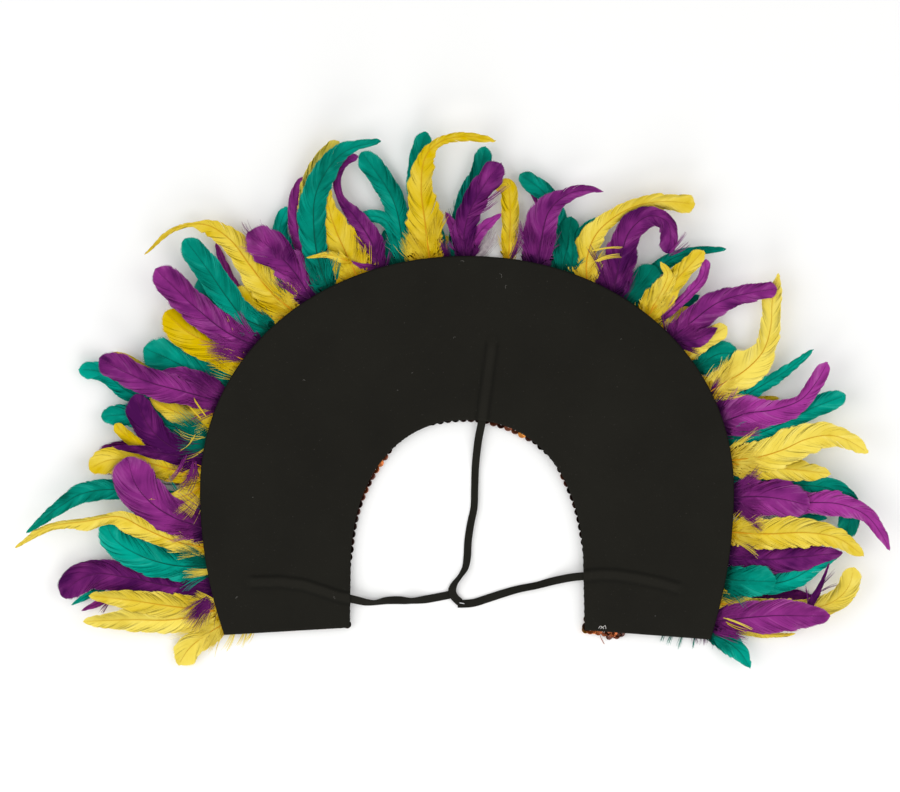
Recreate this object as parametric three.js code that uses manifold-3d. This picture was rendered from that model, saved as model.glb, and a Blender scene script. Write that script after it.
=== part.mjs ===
// Carnival feather headdress, lying on its front with its back up.
//
// A stiff horseshoe panel covered in black cloth goes round the head. Dyed cock and goose feathers in
// purple, green and yellow are fixed under its outer edge and fan outwards, a plain facing covers their
// quills, a string of copper sequins edges the arch, and three flat elastic straps meet behind the head.
//
// Millimetres, +Z up. While it is built, X is 0 on the panel's axis, Y is 0 at the feet of the arch and
// Z is 0 on the table. The last lines move the origin to the bottom centre of the whole headdress.

import * as THREE from 'three';
import { mergeVertices } from 'three/addons/utils/BufferGeometryUtils.js';
import Module from 'manifold-3d';

const wasm = await Module();
wasm.setup();

// Driving dimensions of the panel

const ARCH = {
  outer: { centreY: 100, halfWidth: 187, height: 164.5, roundness: 2.06 },
  inner: { centreY: 45, halfWidth: 81.5, height: 104.5, roundness: 2.2 },
};
const FEET = {
  left: { outer: [-170, 0], inner: [-82, 5] },
  right: { outer: [170.5, -2.5], inner: [82.5, 4] },
};
const LEG_BULGE_Y = 48; // where the legs' outer curve pulls towards, above the feet
const LEG_SHARE = 0.2; // share of the outline's run that each leg takes
const LEG_STEPS = 5;
const ARCH_STEPS = 32;

// Heights above the table

const LAYERS_Z = {
  facing: [0, 2],
  facingRim: [1.7, 3.7], // the facing rises to the panel round the arch
  quill: 3,
  sequins: [2.5, 3.7],
  panel: [4, 7.5],
  tunnel: 6.1, // middle of the pockets that hold the strap ends
};

const FACING = { innerMargin: 8, risePastMargin: 14, outerMargin: 26, footShare: 0.035 };

// Feathers

const FEATHER = {
  ribThickness: 1.3,
  quillWidth: 2,
  quillLength: 28, // how far the quill reaches in under the panel
  quillTurn: 0.85, // share by which it turns from the feather's own line to straight inwards
  stationSpacing: 9.6,
  layerPitch: 1.75, // height between layers, once clear of the panel's edge
  edgeClearance: 1.5, // distance from the edge before the layers begin to part
  rampLength: 15, // distance over which they part
  floorLayer: 1.2, // the layer whose sheet runs level from the quills
  liftPerLayer: 6, // how much higher each layer's feathers reach at liftReach
  liftReach: 130,
  liftPower: 1.6,
};

// Half-width along the vane, from the panel's edge at 0 to the tip at 1, as shares of half the feather's width
const CUTS = {
  round: [[0, 0.18], [0.14, 0.6], [0.32, 0.92], [0.6, 1], [0.84, 0.88], [0.95, 0.62], [1, 0.2]],
  broad: [[0, 0.25], [0.12, 0.8], [0.3, 1], [0.7, 0.98], [0.9, 0.8], [1, 0.35]],
  pointed: [[0, 0.2], [0.15, 0.7], [0.4, 1], [0.65, 0.85], [0.85, 0.48], [1, 0.06]],
  coque: [[0, 0.25], [0.12, 0.8], [0.28, 1], [0.5, 0.76], [0.68, 0.5], [0.85, 0.34], [1, 0.06]],
  taper: [[0, 0.3], [0.1, 0.9], [0.25, 1], [0.5, 0.78], [0.75, 0.52], [0.93, 0.5], [1, 0.15]],
};

// One row for each feather, from the left foot over the top to the right foot. Rows of one plume share
// a quill and are one piece. Spines run from just under the panel's edge to the tip. Layer 1 is nearest
// the table and layer 6 uppermost.
const FEATHERS = [
  { plume: 'yellow_01', cut: 'round', layer: 3, width: 15, spine: [[-168, 8], [-183, -1], [-195, -11], [-202, -22]] },
  { plume: 'yellow_02', cut: 'pointed', layer: 4, width: 17, spine: [[-177, 16], [-205, 19], [-238, 24], [-264, 27]] },
  { plume: 'yellow_02', cut: 'pointed', layer: 4, width: 18, spine: [[-177, 16], [-205, 10], [-236, 10], [-268, 9]] },
  {
    plume: 'purple_01', cut: 'round', layer: 3, width: 21,
    spine: [[-180, 32], [-206, 33], [-236, 39], [-260, 42], [-274, 36], [-283, 26]],
  },
  { plume: 'green_01', cut: 'round', layer: 4, width: 22, spine: [[-181, 47], [-206, 48], [-229, 55], [-246, 66], [-253, 79]] },
  {
    plume: 'yellow_03', cut: 'coque', layer: 5, width: 15,
    spine: [[-183, 60], [-205, 65], [-226, 74], [-243, 82], [-266, 79], [-291, 75], [-314, 61]],
  },
  {
    plume: 'green_02', cut: 'coque', layer: 4, width: 15,
    spine: [[-186, 87], [-215, 95.5], [-245, 101], [-269, 98], [-286, 88], [-297, 79], [-307, 71]],
  },
  { plume: 'purple_02', cut: 'broad', layer: 6, width: 25, spine: [[-185, 73.5], [-208, 83], [-222, 93], [-232, 106], [-237, 124]] },
  { plume: 'yellow_04', cut: 'round', layer: 4, width: 18, spine: [[-187, 109], [-210, 116], [-235, 122], [-252, 121], [-264, 115]] },
  { plume: 'yellow_04', cut: 'round', layer: 4, width: 8, spine: [[-186, 117], [-210, 127], [-228, 132], [-240, 140], [-246, 147]] },
  { plume: 'purple_03', cut: 'round', layer: 5, width: 16, spine: [[-184, 125], [-205, 130], [-220, 142], [-228, 156], [-231, 168]] },
  { plume: 'green_03', cut: 'round', layer: 3, width: 16, spine: [[-182, 141], [-210, 146], [-236, 153], [-256, 152]] },
  { plume: 'green_03', cut: 'round', layer: 3, width: 16, spine: [[-182, 136], [-200, 138], [-212, 148], [-217, 160]] },
  { plume: 'green_03', cut: 'round', layer: 2, width: 12, spine: [[-181, 147], [-212, 160], [-238, 170], [-256, 183], [-272, 185]] },
  { plume: 'yellow_05', cut: 'pointed', layer: 4, width: 13, spine: [[-178, 154], [-196, 153], [-210, 158], [-222, 165]] },
  { plume: 'purple_04', cut: 'round', layer: 6, width: 18, spine: [[-175, 163], [-200, 170], [-222, 176], [-240, 184], [-256, 193]] },
  { plume: 'green_04', cut: 'broad', layer: 4, width: 22, spine: [[-166, 174], [-186, 181], [-206, 191], [-226, 200]] },
  { plume: 'yellow_06', cut: 'round', layer: 5, width: 22, spine: [[-157, 192], [-178, 202], [-195, 211], [-211, 225]] },
  { plume: 'purple_05', cut: 'round', layer: 6, width: 17, spine: [[-150, 202], [-168, 211], [-186, 225], [-203, 241], [-217, 255]] },
  { plume: 'green_05', cut: 'round', layer: 5, width: 14, spine: [[-139, 213], [-156, 221], [-169, 237], [-182, 256], [-197, 276]] },
  { plume: 'green_05', cut: 'round', layer: 4, width: 16, spine: [[-139, 213], [-160, 219], [-177, 234], [-187, 249]] },
  {
    plume: 'yellow_07', cut: 'coque', layer: 4, width: 23,
    spine: [[-122, 226], [-138, 240], [-152, 258], [-166, 276], [-183, 286], [-204, 283], [-225, 265]],
  },
  { plume: 'yellow_07', cut: 'broad', layer: 3, width: 15, spine: [[-127, 221], [-142, 223], [-154, 232], [-165, 241]] },
  { plume: 'purple_06', cut: 'round', layer: 5, width: 20, spine: [[-109.5, 235], [-120, 252], [-135, 268], [-153, 281]] },
  { plume: 'green_06', cut: 'round', layer: 2, width: 10, spine: [[-114, 231.5], [-124, 266], [-131, 283], [-126, 299]] },
  { plume: 'purple_07', cut: 'round', layer: 3, width: 11, spine: [[-104.5, 238.5], [-113, 265], [-119, 285], [-119, 303], [-112, 320]] },
  {
    plume: 'yellow_08', cut: 'round', layer: 4, width: 11,
    spine: [[-91.5, 247.5], [-105, 270], [-112, 293], [-110, 314], [-101, 332], [-89, 344]],
  },
  {
    plume: 'green_07', cut: 'coque', layer: 6, width: 21,
    spine: [[-98, 243.5], [-104, 262], [-107, 285], [-106, 305], [-98, 323], [-84, 337], [-60, 344]],
  },
  { plume: 'yellow_09', cut: 'pointed', layer: 5, width: 25, spine: [[-77, 250], [-84, 265], [-92, 283], [-97, 300], [-97, 315]] },
  {
    plume: 'purple_08', cut: 'taper', layer: 4, width: 16,
    spine: [[-62, 255], [-66, 272], [-77, 290], [-88, 304], [-91, 318], [-86, 329], [-76, 334]],
  },
  { plume: 'green_08', cut: 'round', layer: 3, width: 14, spine: [[-43, 259], [-46, 280], [-51, 302], [-60, 318], [-74, 337]] },
  { plume: 'green_08', cut: 'round', layer: 3, width: 8, spine: [[-46, 258], [-50, 277], [-58, 290], [-75, 293]] },
  { plume: 'green_08', cut: 'round', layer: 4, width: 12, spine: [[-34, 260], [-34, 290], [-36, 320], [-29, 351]] },
  {
    plume: 'yellow_10', cut: 'coque', layer: 6, width: 24,
    spine: [[-26, 260], [-29, 285], [-32, 312], [-29, 333], [-19, 343], [-2, 347], [20, 344]],
  },
  { plume: 'green_09', cut: 'round', layer: 3, width: 12, spine: [[-10, 261], [-5, 285], [0, 306], [9, 324], [13, 341]] },
  { plume: 'purple_09', cut: 'round', layer: 6, width: 15, spine: [[-2, 261], [-2, 280], [3, 298], [13, 315], [24, 329]] },
  { plume: 'purple_09', cut: 'pointed', layer: 5, width: 8, spine: [[0, 261], [8, 280], [24, 294]] },
  { plume: 'purple_09', cut: 'pointed', layer: 5, width: 7, spine: [[-1.5, 261], [-6, 278], [-15, 295]] },
  { plume: 'yellow_11', cut: 'round', layer: 4, width: 11, spine: [[29, 259], [30, 282], [30, 300], [28, 313], [20, 311]] },
  {
    plume: 'purple_10', cut: 'coque', layer: 6, width: 24,
    spine: [[49, 256], [52, 276], [57, 295], [68, 306], [81, 310], [95, 309]],
  },
  { plume: 'green_10', cut: 'round', layer: 3, width: 12, spine: [[59, 254], [64, 283], [57, 305], [37, 322]] },
  { plume: 'green_10', cut: 'round', layer: 4, width: 14, spine: [[66, 252], [70, 271], [73, 292]] },
  { plume: 'green_10', cut: 'round', layer: 4, width: 9, spine: [[69, 251], [79, 277], [93, 290]] },
  {
    plume: 'yellow_12', cut: 'round', layer: 5, width: 14,
    spine: [[84, 247], [84, 263], [90, 279], [104, 292], [121, 300], [140, 302], [159, 300]],
  },
  {
    plume: 'purple_11', cut: 'taper', layer: 6, width: 20,
    spine: [[103, 240], [107, 262], [114, 282], [127, 292], [139, 288], [142, 276], [139, 266]],
  },
  { plume: 'green_11', cut: 'broad', layer: 5, width: 18, spine: [[113, 233], [122, 243], [131, 258]] },
  { plume: 'green_11', cut: 'pointed', layer: 4, width: 10, spine: [[115, 231], [130, 253], [147, 264], [165, 268], [181, 269]] },
  { plume: 'yellow_13', cut: 'broad', layer: 6, width: 18, spine: [[126, 221], [133, 231], [144, 245], [154, 256], [165, 268]] },
  { plume: 'purple_12', cut: 'round', layer: 6, width: 16, spine: [[143, 206], [158, 219], [176, 232], [196, 238], [216, 241]] },
  { plume: 'purple_12', cut: 'pointed', layer: 6, width: 10, spine: [[145, 204], [160, 206], [175, 214]] },
  { plume: 'yellow_14', cut: 'round', layer: 4, width: 11, spine: [[153, 193], [163, 203], [182, 215]] },
  { plume: 'green_12', cut: 'round', layer: 3, width: 14, spine: [[158, 183], [166, 190], [177, 196], [190, 196]] },
  {
    plume: 'yellow_15', cut: 'taper', layer: 5, width: 21,
    spine: [[167, 167], [179, 175], [194, 184], [207, 198], [212, 215], [213, 233], [217, 252]],
  },
  { plume: 'green_13', cut: 'pointed', layer: 4, width: 10, spine: [[174, 154], [195, 167], [210, 176], [223, 184], [242, 199]] },
  {
    plume: 'purple_13', cut: 'taper', layer: 6, width: 22,
    spine: [[177, 147], [195, 154], [215, 157], [233, 164], [244, 177], [251, 190]],
  },
  { plume: 'green_14', cut: 'round', layer: 5, width: 13, spine: [[180, 135], [200, 139], [220, 147], [241, 158], [264, 167]] },
  {
    plume: 'yellow_16', cut: 'pointed', layer: 6, width: 22,
    spine: [[183, 121], [205, 124], [221, 129], [236, 136], [252, 139], [264, 136], [279, 127]],
  },
  { plume: 'yellow_16', cut: 'pointed', layer: 5, width: 15, spine: [[183, 119], [208, 117], [229, 115], [254, 112]] },
  {
    plume: 'green_15', cut: 'round', layer: 4, width: 13,
    spine: [[184, 106.5], [212, 107], [236, 104], [256, 101], [267, 92], [267, 79], [263, 67]],
  },
  { plume: 'green_15', cut: 'pointed', layer: 3, width: 9, spine: [[184, 103], [212, 90], [235, 82], [252, 81]] },
  { plume: 'purple_14', cut: 'broad', layer: 6, width: 18, spine: [[184, 95], [205, 96], [222, 94], [239, 90]] },
  {
    plume: 'purple_14', cut: 'coque', layer: 5, width: 20,
    spine: [[184, 92], [212, 92], [240, 92], [260, 91], [277, 84], [288, 71], [294, 59]],
  },
  { plume: 'yellow_17', cut: 'pointed', layer: 6, width: 19, spine: [[184, 71], [210, 70], [238, 71], [259, 67], [276, 55]] },
  { plume: 'purple_15', cut: 'pointed', layer: 5, width: 19, spine: [[182, 55], [206, 52], [232, 54], [262, 57]] },
  { plume: 'green_16', cut: 'broad', layer: 6, width: 15, spine: [[179, 38], [198, 37], [216, 37]] },
  { plume: 'green_16', cut: 'pointed', layer: 4, width: 15, spine: [[179, 35], [205, 34], [226, 38], [244, 48], [261, 57]] },
  {
    plume: 'yellow_18', cut: 'round', layer: 4, width: 13,
    spine: [[177, 21], [212, 17], [240, 18], [256, 23], [266, 33], [270, 47]],
  },
  { plume: 'purple_16', cut: 'broad', layer: 6, width: 21, spine: [[173, 8], [192, 11], [215, 13], [236, 13], [253, 13]] },
  { plume: 'green_17', cut: 'pointed', layer: 5, width: 13, spine: [[169, 0], [181, -5], [191, -13], [198, -24]] },
];

// Elastic straps. Points run from the end in the panel's pocket to the join behind the head. z is the
// height of the strap's middle, or its height when it lies on the table if that is more.

const STRAP = { width: 5.6, thickness: 1, restGap: 0.3 };
const POCKET = { width: 6.4, height: 1.8, ridgeWidth: 13, ridgeTop: 7, ridgeHeight: 0.9 };
const Z_POCKET = LAYERS_Z.tunnel;
const STRAPS = {
  strap_top: {
    pocketPoints: 4,
    points: [
      { x: 18, y: 205, z: Z_POCKET, twist: 0 },
      { x: 15.3, y: 185, z: Z_POCKET, twist: 0 },
      { x: 12.4, y: 165, z: Z_POCKET, twist: 0 },
      { x: 10.5, y: 149, z: Z_POCKET, twist: 0 },
      { x: 8, y: 136, z: 4.8, twist: 8 },
      { x: 6, y: 118, z: 2.6, twist: 22 },
      { x: 5.4, y: 102, z: 0, twist: 28 },
      { x: 4.9, y: 88, z: 0, twist: 28 },
      { x: 2.6, y: 77, z: 0, twist: 24 },
      { x: 0.7, y: 64, z: 0, twist: 20 },
      { x: 0.2, y: 54, z: 0, twist: 20 },
      { x: -1.2, y: 46, z: 0, twist: 38 },
      { x: -5.2, y: 39.5, z: 0, twist: 58 },
      { x: -9, y: 34.2, z: 2.9, twist: 40 },
      { x: -10.4, y: 29.5, z: 2.3, twist: 0 },
      { x: -8.6, y: 25.2, z: 2.2, twist: 0 },
      { x: -5, y: 21.8, z: 2.2, twist: 0 },
    ],
  },
  strap_left: {
    pocketPoints: 6,
    points: [
      { x: -153, y: 36, z: Z_POCKET, twist: 0 },
      { x: -131, y: 36.4, z: Z_POCKET, twist: 0 },
      { x: -115, y: 34.3, z: Z_POCKET, twist: 0 },
      { x: -101, y: 30, z: Z_POCKET, twist: 0 },
      { x: -91, y: 26.4, z: Z_POCKET, twist: 0 },
      { x: -81, y: 24.3, z: Z_POCKET, twist: 0 },
      { x: -75.5, y: 23, z: 5, twist: 12 },
      { x: -70, y: 21.7, z: 3.2, twist: 35 },
      { x: -64, y: 21.6, z: 0, twist: 50 },
      { x: -57, y: 22.9, z: 0, twist: 25 },
      { x: -48, y: 23.2, z: 0, twist: 8 },
      { x: -39, y: 22.8, z: 0, twist: 42 },
      { x: -29, y: 23.8, z: 0, twist: 12 },
      { x: -19, y: 25.6, z: 0, twist: 0 },
      { x: -12.5, y: 26.9, z: 0, twist: 0 },
      { x: -8.5, y: 27.6, z: 0, twist: 0 },
    ],
  },
  strap_right: {
    pocketPoints: 6,
    points: [
      { x: 150, y: 31, z: Z_POCKET, twist: 0 },
      { x: 135, y: 35.5, z: Z_POCKET, twist: 0 },
      { x: 118, y: 39, z: Z_POCKET, twist: 0 },
      { x: 104, y: 41.1, z: Z_POCKET, twist: 0 },
      { x: 93, y: 41.4, z: Z_POCKET, twist: 0 },
      { x: 82, y: 40.3, z: Z_POCKET, twist: 0 },
      { x: 73, y: 39.3, z: 4.8, twist: 0 },
      { x: 61, y: 36.8, z: 2.8, twist: 12 },
      { x: 49, y: 33.6, z: 0, twist: 30 },
      { x: 36, y: 31, z: 0, twist: 24 },
      { x: 24, y: 27.5, z: 0, twist: 10 },
      { x: 14, y: 24.2, z: 0, twist: 0 },
      { x: 5, y: 21.4, z: 0, twist: 0 },
      { x: -1, y: 20.7, z: 0, twist: 0 },
      { x: -6.5, y: 20.7, z: 0, twist: 0 },
    ],
  },
};

const STAPLE = { x: -3.6, y: 21.2, span: 4, wire: 0.7, crownZ: 3.3, turn: -12, legBottom: 0.45, holeClearance: 0.3 };

// Sequins round the arch and along the feet. Peek is how far they show past the panel's edge.

const SEQUIN = { diameter: 6, pitch: 5.45, sides: 10 };
const TRIM = { leftFootX: -132, rightFootX: 108, threadStep: 1.5, halvesGap: 6.4 };
const TRIM_PEEK = [
  { along: 0, peek: 0.7 },
  { along: 48, peek: 0.7 },
  { along: 58, peek: 0.3 },
  { along: 108, peek: 0.5 },
  { along: 132, peek: 2.9 },
  { along: 172, peek: 3.1 },
  { along: 196, peek: 0.6 },
  { along: 214, peek: 0.5 },
  { along: 238, peek: 1.2 },
  { along: 254, peek: 3.1 },
  { along: 286, peek: 3.3 },
  { along: 300, peek: 1.2 },
  { along: 318, peek: 0.5 },
  { along: 342, peek: 2 },
  { along: 366, peek: 1.4 },
  { along: 384, peek: 0.4 },
  { along: 422, peek: 0.5 },
  { along: 434, peek: 2.8 },
  { along: 470, peek: 3.2 },
];

const COLOURS = {
  panel: { color: 0x21201c, roughness: 0.95, metalness: 0 },
  facing: { color: 0x4a2417, roughness: 0.8, metalness: 0 },
  elastic: { color: 0x1d1c1a, roughness: 0.85, metalness: 0 },
  sequin: { color: 0x8a4a1c, roughness: 0.25, metalness: 0.6 },
  staple: { color: 0xb8b8b8, roughness: 0.3, metalness: 1 },
  purple: { color: 0x6e1a73, roughness: 0.7, metalness: 0 },
  green: { color: 0x067f6c, roughness: 0.7, metalness: 0 },
  yellow: { color: 0xdcbf1e, roughness: 0.7, metalness: 0 },
};

// Small helpers

const lerp = THREE.MathUtils.lerp;
const degToRad = THREE.MathUtils.degToRad;

function smoothstep(t) {
  const c = Math.min(1, Math.max(0, t));
  return c * c * (3 - 2 * c);
}

// Straight-line interpolation in a table of rows [at, value]
function fromTable(rows, at) {
  const next = rows.findIndex((row) => row[0] >= at);
  if (next === -1) return rows[rows.length - 1][1];
  if (next === 0) return rows[0][1];
  const [a, b] = [rows[next - 1], rows[next]];
  return lerp(a[1], b[1], (at - a[0]) / (b[0] - a[0]));
}

// A closed solid through a row of sections, each a ring of as many corners
function loft(sections) {
  const corners = sections[0].length;
  const positions = sections.flat().flatMap((p) => [p.x, p.y, p.z]);
  const index = [];
  for (let s = 0; s < sections.length - 1; s++) {
    for (let c = 0; c < corners; c++) {
      const a = s * corners + c;
      const b = s * corners + ((c + 1) % corners);
      index.push(a, b, b + corners, a, b + corners, a + corners);
    }
  }
  const last = (sections.length - 1) * corners;
  for (let c = 1; c < corners - 1; c++) {
    index.push(0, c + 1, c);
    index.push(last, last + c, last + c + 1);
  }
  const geometry = new THREE.BufferGeometry();
  geometry.setAttribute('position', new THREE.Float32BufferAttribute(positions, 3));
  geometry.setIndex(index);
  return geometry;
}

// A geometry as a manifold-3d solid with its faces pointing out
function solidOf(geometry) {
  const bare = geometry.clone();
  bare.deleteAttribute('normal');
  bare.deleteAttribute('uv');
  const merged = mergeVertices(bare, 1e-4);
  const triVerts = new Uint32Array(merged.index.array);
  const vertProperties = new Float32Array(merged.attributes.position.array);
  let solid = new wasm.Manifold(new wasm.Mesh({ numProp: 3, vertProperties, triVerts }));
  if (solid.volume() < 0) {
    const turned = triVerts.slice();
    for (let i = 0; i < turned.length; i += 3) [turned[i + 1], turned[i + 2]] = [triVerts[i + 2], triVerts[i + 1]];
    solid = new wasm.Manifold(new wasm.Mesh({ numProp: 3, vertProperties, triVerts: turned }));
  }
  return solid;
}

function geometryOf(solid) {
  const mesh = solid.getMesh();
  const geometry = new THREE.BufferGeometry();
  geometry.setAttribute('position', new THREE.BufferAttribute(new Float32Array(mesh.vertProperties), 3));
  geometry.setIndex(new THREE.BufferAttribute(new Uint32Array(mesh.triVerts), 1));
  return geometry;
}

// The panel's outline. u runs from 0 at the left foot over the top to 1 at the right foot.

function archPoint({ centreY, halfWidth, height, roundness }, share) {
  const angle = Math.PI * (1 - share);
  const c = Math.cos(angle);
  const s = Math.sin(angle);
  const power = 2 / roundness;
  return new THREE.Vector2(
    Math.sign(c) * halfWidth * Math.abs(c) ** power,
    centreY + height * Math.abs(s) ** power,
  );
}

function outerEdge(u) {
  const { halfWidth, centreY } = ARCH.outer;
  if (u >= LEG_SHARE && u <= 1 - LEG_SHARE) return archPoint(ARCH.outer, (u - LEG_SHARE) / (1 - 2 * LEG_SHARE));
  const onLeft = u < LEG_SHARE;
  const side = onLeft ? -1 : 1;
  const foot = new THREE.Vector2(...(onLeft ? FEET.left : FEET.right).outer);
  const leg = new THREE.QuadraticBezierCurve(
    foot,
    new THREE.Vector2(side * halfWidth, LEG_BULGE_Y),
    new THREE.Vector2(side * halfWidth, centreY),
  );
  return leg.getPoint((onLeft ? u : 1 - u) / LEG_SHARE);
}

function innerEdge(u) {
  const { halfWidth, centreY } = ARCH.inner;
  if (u >= LEG_SHARE && u <= 1 - LEG_SHARE) return archPoint(ARCH.inner, (u - LEG_SHARE) / (1 - 2 * LEG_SHARE));
  const onLeft = u < LEG_SHARE;
  const foot = new THREE.Vector2(...(onLeft ? FEET.left : FEET.right).inner);
  const top = new THREE.Vector2((onLeft ? -1 : 1) * halfWidth, centreY);
  return foot.lerp(top, (onLeft ? u : 1 - u) / LEG_SHARE);
}

// Stations along the horseshoe, close together only where it bends
function horseshoeStations(from = 0, to = 1) {
  const stations = [];
  for (let i = 0; i < LEG_STEPS; i++) stations.push(lerp(from, LEG_SHARE, i / LEG_STEPS));
  for (let i = 0; i <= ARCH_STEPS; i++) stations.push(lerp(LEG_SHARE, 1 - LEG_SHARE, i / ARCH_STEPS));
  for (let i = 1; i <= LEG_STEPS; i++) stations.push(lerp(1 - LEG_SHARE, to, i / LEG_STEPS));
  return stations;
}

// The point a stated distance from the inner edge towards the outer edge, or back from the outer edge
function across(u, { fromInner, fromOuter }, z) {
  const inner = innerEdge(u);
  const outer = outerEdge(u);
  const width = inner.distanceTo(outer);
  const share = fromInner === undefined ? 1 - fromOuter / width : fromInner / width;
  const p = inner.lerp(outer, share);
  return new THREE.Vector3(p.x, p.y, z);
}

const PANEL_OUTLINE = [
  ...horseshoeStations().map(outerEdge),
  ...horseshoeStations().reverse().map(innerEdge),
];

function insidePanel(point) {
  let inside = false;
  PANEL_OUTLINE.forEach((a, i) => {
    const b = PANEL_OUTLINE[(i + 1) % PANEL_OUTLINE.length];
    const crosses = (a.y > point.y) !== (b.y > point.y);
    if (crosses && point.x < a.x + ((b.x - a.x) * (point.y - a.y)) / (b.y - a.y)) inside = !inside;
  });
  return inside;
}

function distanceOutsidePanel({ x, y }) {
  const point = new THREE.Vector2(x, y);
  if (insidePanel(point)) return 0;
  let nearest = Infinity;
  PANEL_OUTLINE.forEach((a, i) => {
    const b = PANEL_OUTLINE[(i + 1) % PANEL_OUTLINE.length];
    const run = b.clone().sub(a);
    const share = THREE.MathUtils.clamp(point.clone().sub(a).dot(run) / run.lengthSq(), 0, 1);
    nearest = Math.min(nearest, a.clone().addScaledVector(run, share).distanceTo(point));
  });
  return nearest;
}

// Panel and facing

function strapFrames(name, count) {
  const rows = STRAPS[name].points.slice(0, count);
  return rows.map((row, i) => {
    const before = rows[Math.max(0, i - 1)];
    const after = rows[Math.min(rows.length - 1, i + 1)];
    const along = new THREE.Vector3(after.x - before.x, after.y - before.y, after.z - before.z).normalize();
    const flat = new THREE.Vector3(-along.y, along.x, 0).normalize();
    const side = flat.applyAxisAngle(along, degToRad(row.twist));
    return { centre: new THREE.Vector3(row.x, row.y, row.z), along, side, up: along.clone().cross(side).negate() };
  });
}

// A pocket for a strap's end: a slot right through to the arch, with a low ridge of cloth over it
function pocket(name) {
  const { points, pocketPoints } = STRAPS[name];
  const frames = strapFrames(name, pocketPoints);
  const mouth = points[pocketPoints - 1];
  const end = frames[0];
  const beyond = frames[frames.length - 1];
  const slotFrames = [
    { ...end, centre: end.centre.clone().addScaledVector(end.along, -0.5) },
    ...frames.slice(1),
    { ...beyond, centre: new THREE.Vector3(mouth.x, mouth.y, mouth.z).addScaledVector(beyond.along, 3) },
  ];
  const slot = slotFrames.map(({ centre, side }) => [
    [-0.5, -0.5], [0.5, -0.5], [0.5, 0.5], [-0.5, 0.5],
  ].map(([across, up]) => {
    const p = centre.clone().addScaledVector(side, across * POCKET.width);
    p.z += up * POCKET.height;
    return p;
  }));
  const top = LAYERS_Z.panel[1];
  const ridge = frames.map(({ centre, side }, i) => {
    const height = i === 0 ? 0.2 : POCKET.ridgeHeight;
    return [
      [-POCKET.ridgeWidth / 2, top - 0.2], [POCKET.ridgeWidth / 2, top - 0.2],
      [POCKET.ridgeTop / 2, top + height], [-POCKET.ridgeTop / 2, top + height],
    ].map(([offset, z]) => {
      const p = centre.clone().addScaledVector(side, offset);
      p.z = z;
      return p;
    });
  });
  return { slot: solidOf(loft(slot)), ridge: solidOf(loft(ridge)) };
}

function backPanel() {
  const [low, high] = LAYERS_Z.panel;
  const sections = horseshoeStations().map((u) => {
    const inner = innerEdge(u);
    const outer = outerEdge(u);
    return [
      new THREE.Vector3(inner.x, inner.y, low),
      new THREE.Vector3(outer.x, outer.y, low),
      new THREE.Vector3(outer.x, outer.y, high),
      new THREE.Vector3(inner.x, inner.y, high),
    ];
  });
  const sheet = solidOf(loft(sections));
  const pockets = Object.keys(STRAPS).map(pocket);
  const keep = pockets.reduce((solid, p) => solid.add(trimToPanel(p.ridge)), sheet);
  return geometryOf(pockets.reduce((solid, p) => solid.subtract(p.slot), keep));
}

// Cuts a ridge off where it would pass the arch's edge
function trimToPanel(ridge) {
  const tall = horseshoeStations().map((u) => {
    const inner = innerEdge(u);
    const outer = outerEdge(u);
    return [[inner, 0], [outer, 0], [outer, 20], [inner, 20]].map(([p, z]) => new THREE.Vector3(p.x, p.y, z));
  });
  return ridge.intersect(solidOf(loft(tall)));
}

function frontFacing() {
  const { innerMargin, risePastMargin, outerMargin, footShare } = FACING;
  const rise = innerMargin + risePastMargin;
  const [rimLow, rimHigh] = LAYERS_Z.facingRim;
  const [low, high] = LAYERS_Z.facing;
  return loft(horseshoeStations(footShare, 1 - footShare).map((u) => [
    across(u, { fromInner: innerMargin }, rimLow),
    across(u, { fromInner: rise }, low),
    across(u, { fromOuter: outerMargin }, low),
    across(u, { fromOuter: outerMargin }, high),
    across(u, { fromInner: rise }, high),
    across(u, { fromInner: innerMargin }, rimHigh),
  ]));
}

// Feathers

// Height of a layer's sheet over a point of the table. Under the panel all layers meet at the quills.
function sheetHeight(layer, point) {
  const distance = distanceOutsidePanel(point);
  const above = layer - FEATHER.floorLayer;
  const parted = above * FEATHER.layerPitch * smoothstep((distance - FEATHER.edgeClearance) / FEATHER.rampLength);
  const lift = Math.max(0, above) * FEATHER.liftPerLayer * (distance / FEATHER.liftReach) ** FEATHER.liftPower;
  return LAYERS_Z.quill + Math.min(parted, 0) * 0.6 + Math.max(parted, 0) + lift;
}

function feather({ cut, layer, width, spine }, root) {
  const curve = new THREE.CatmullRomCurve3(spine.map(([x, y]) => new THREE.Vector3(x, y, 0)), false, 'centripetal');
  const length = curve.getLength();
  let edge = 0;
  while (distanceOutsidePanel(curve.getPointAt(edge / length)) < FEATHER.edgeClearance) edge += 0.25;
  const steps = Math.max(4, Math.round((length - edge) / FEATHER.stationSpacing));
  const quill = FEATHER.quillWidth / 2;
  const stations = [{ p: root, w: quill }, { p: curve.getPointAt(0), w: quill }];
  for (let i = 0; i <= steps; i++) {
    const t = i / steps;
    const p = curve.getPointAt(lerp(edge / length, 1, t));
    stations.push({ p, w: (width / 2) * fromTable(CUTS[cut], t) });
  }
  return solidOf(loft(stations.map(({ p, w }, i) => {
    const before = stations[Math.max(0, i - 1)].p;
    const after = stations[Math.min(stations.length - 1, i + 1)].p;
    const along = after.clone().sub(before).normalize();
    const side = new THREE.Vector3(-along.y, along.x, 0);
    const rim = [-w, w].map((offset) => {
      const q = p.clone().addScaledVector(side, offset);
      q.z = sheetHeight(layer, q);
      return q;
    });
    const rib = p.clone().setZ(sheetHeight(layer, p));
    const half = new THREE.Vector3(0, 0, FEATHER.ribThickness / 2);
    return [rim[0], rib.clone().sub(half), rim[1], rib.clone().add(half)];
  })));
}

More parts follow.
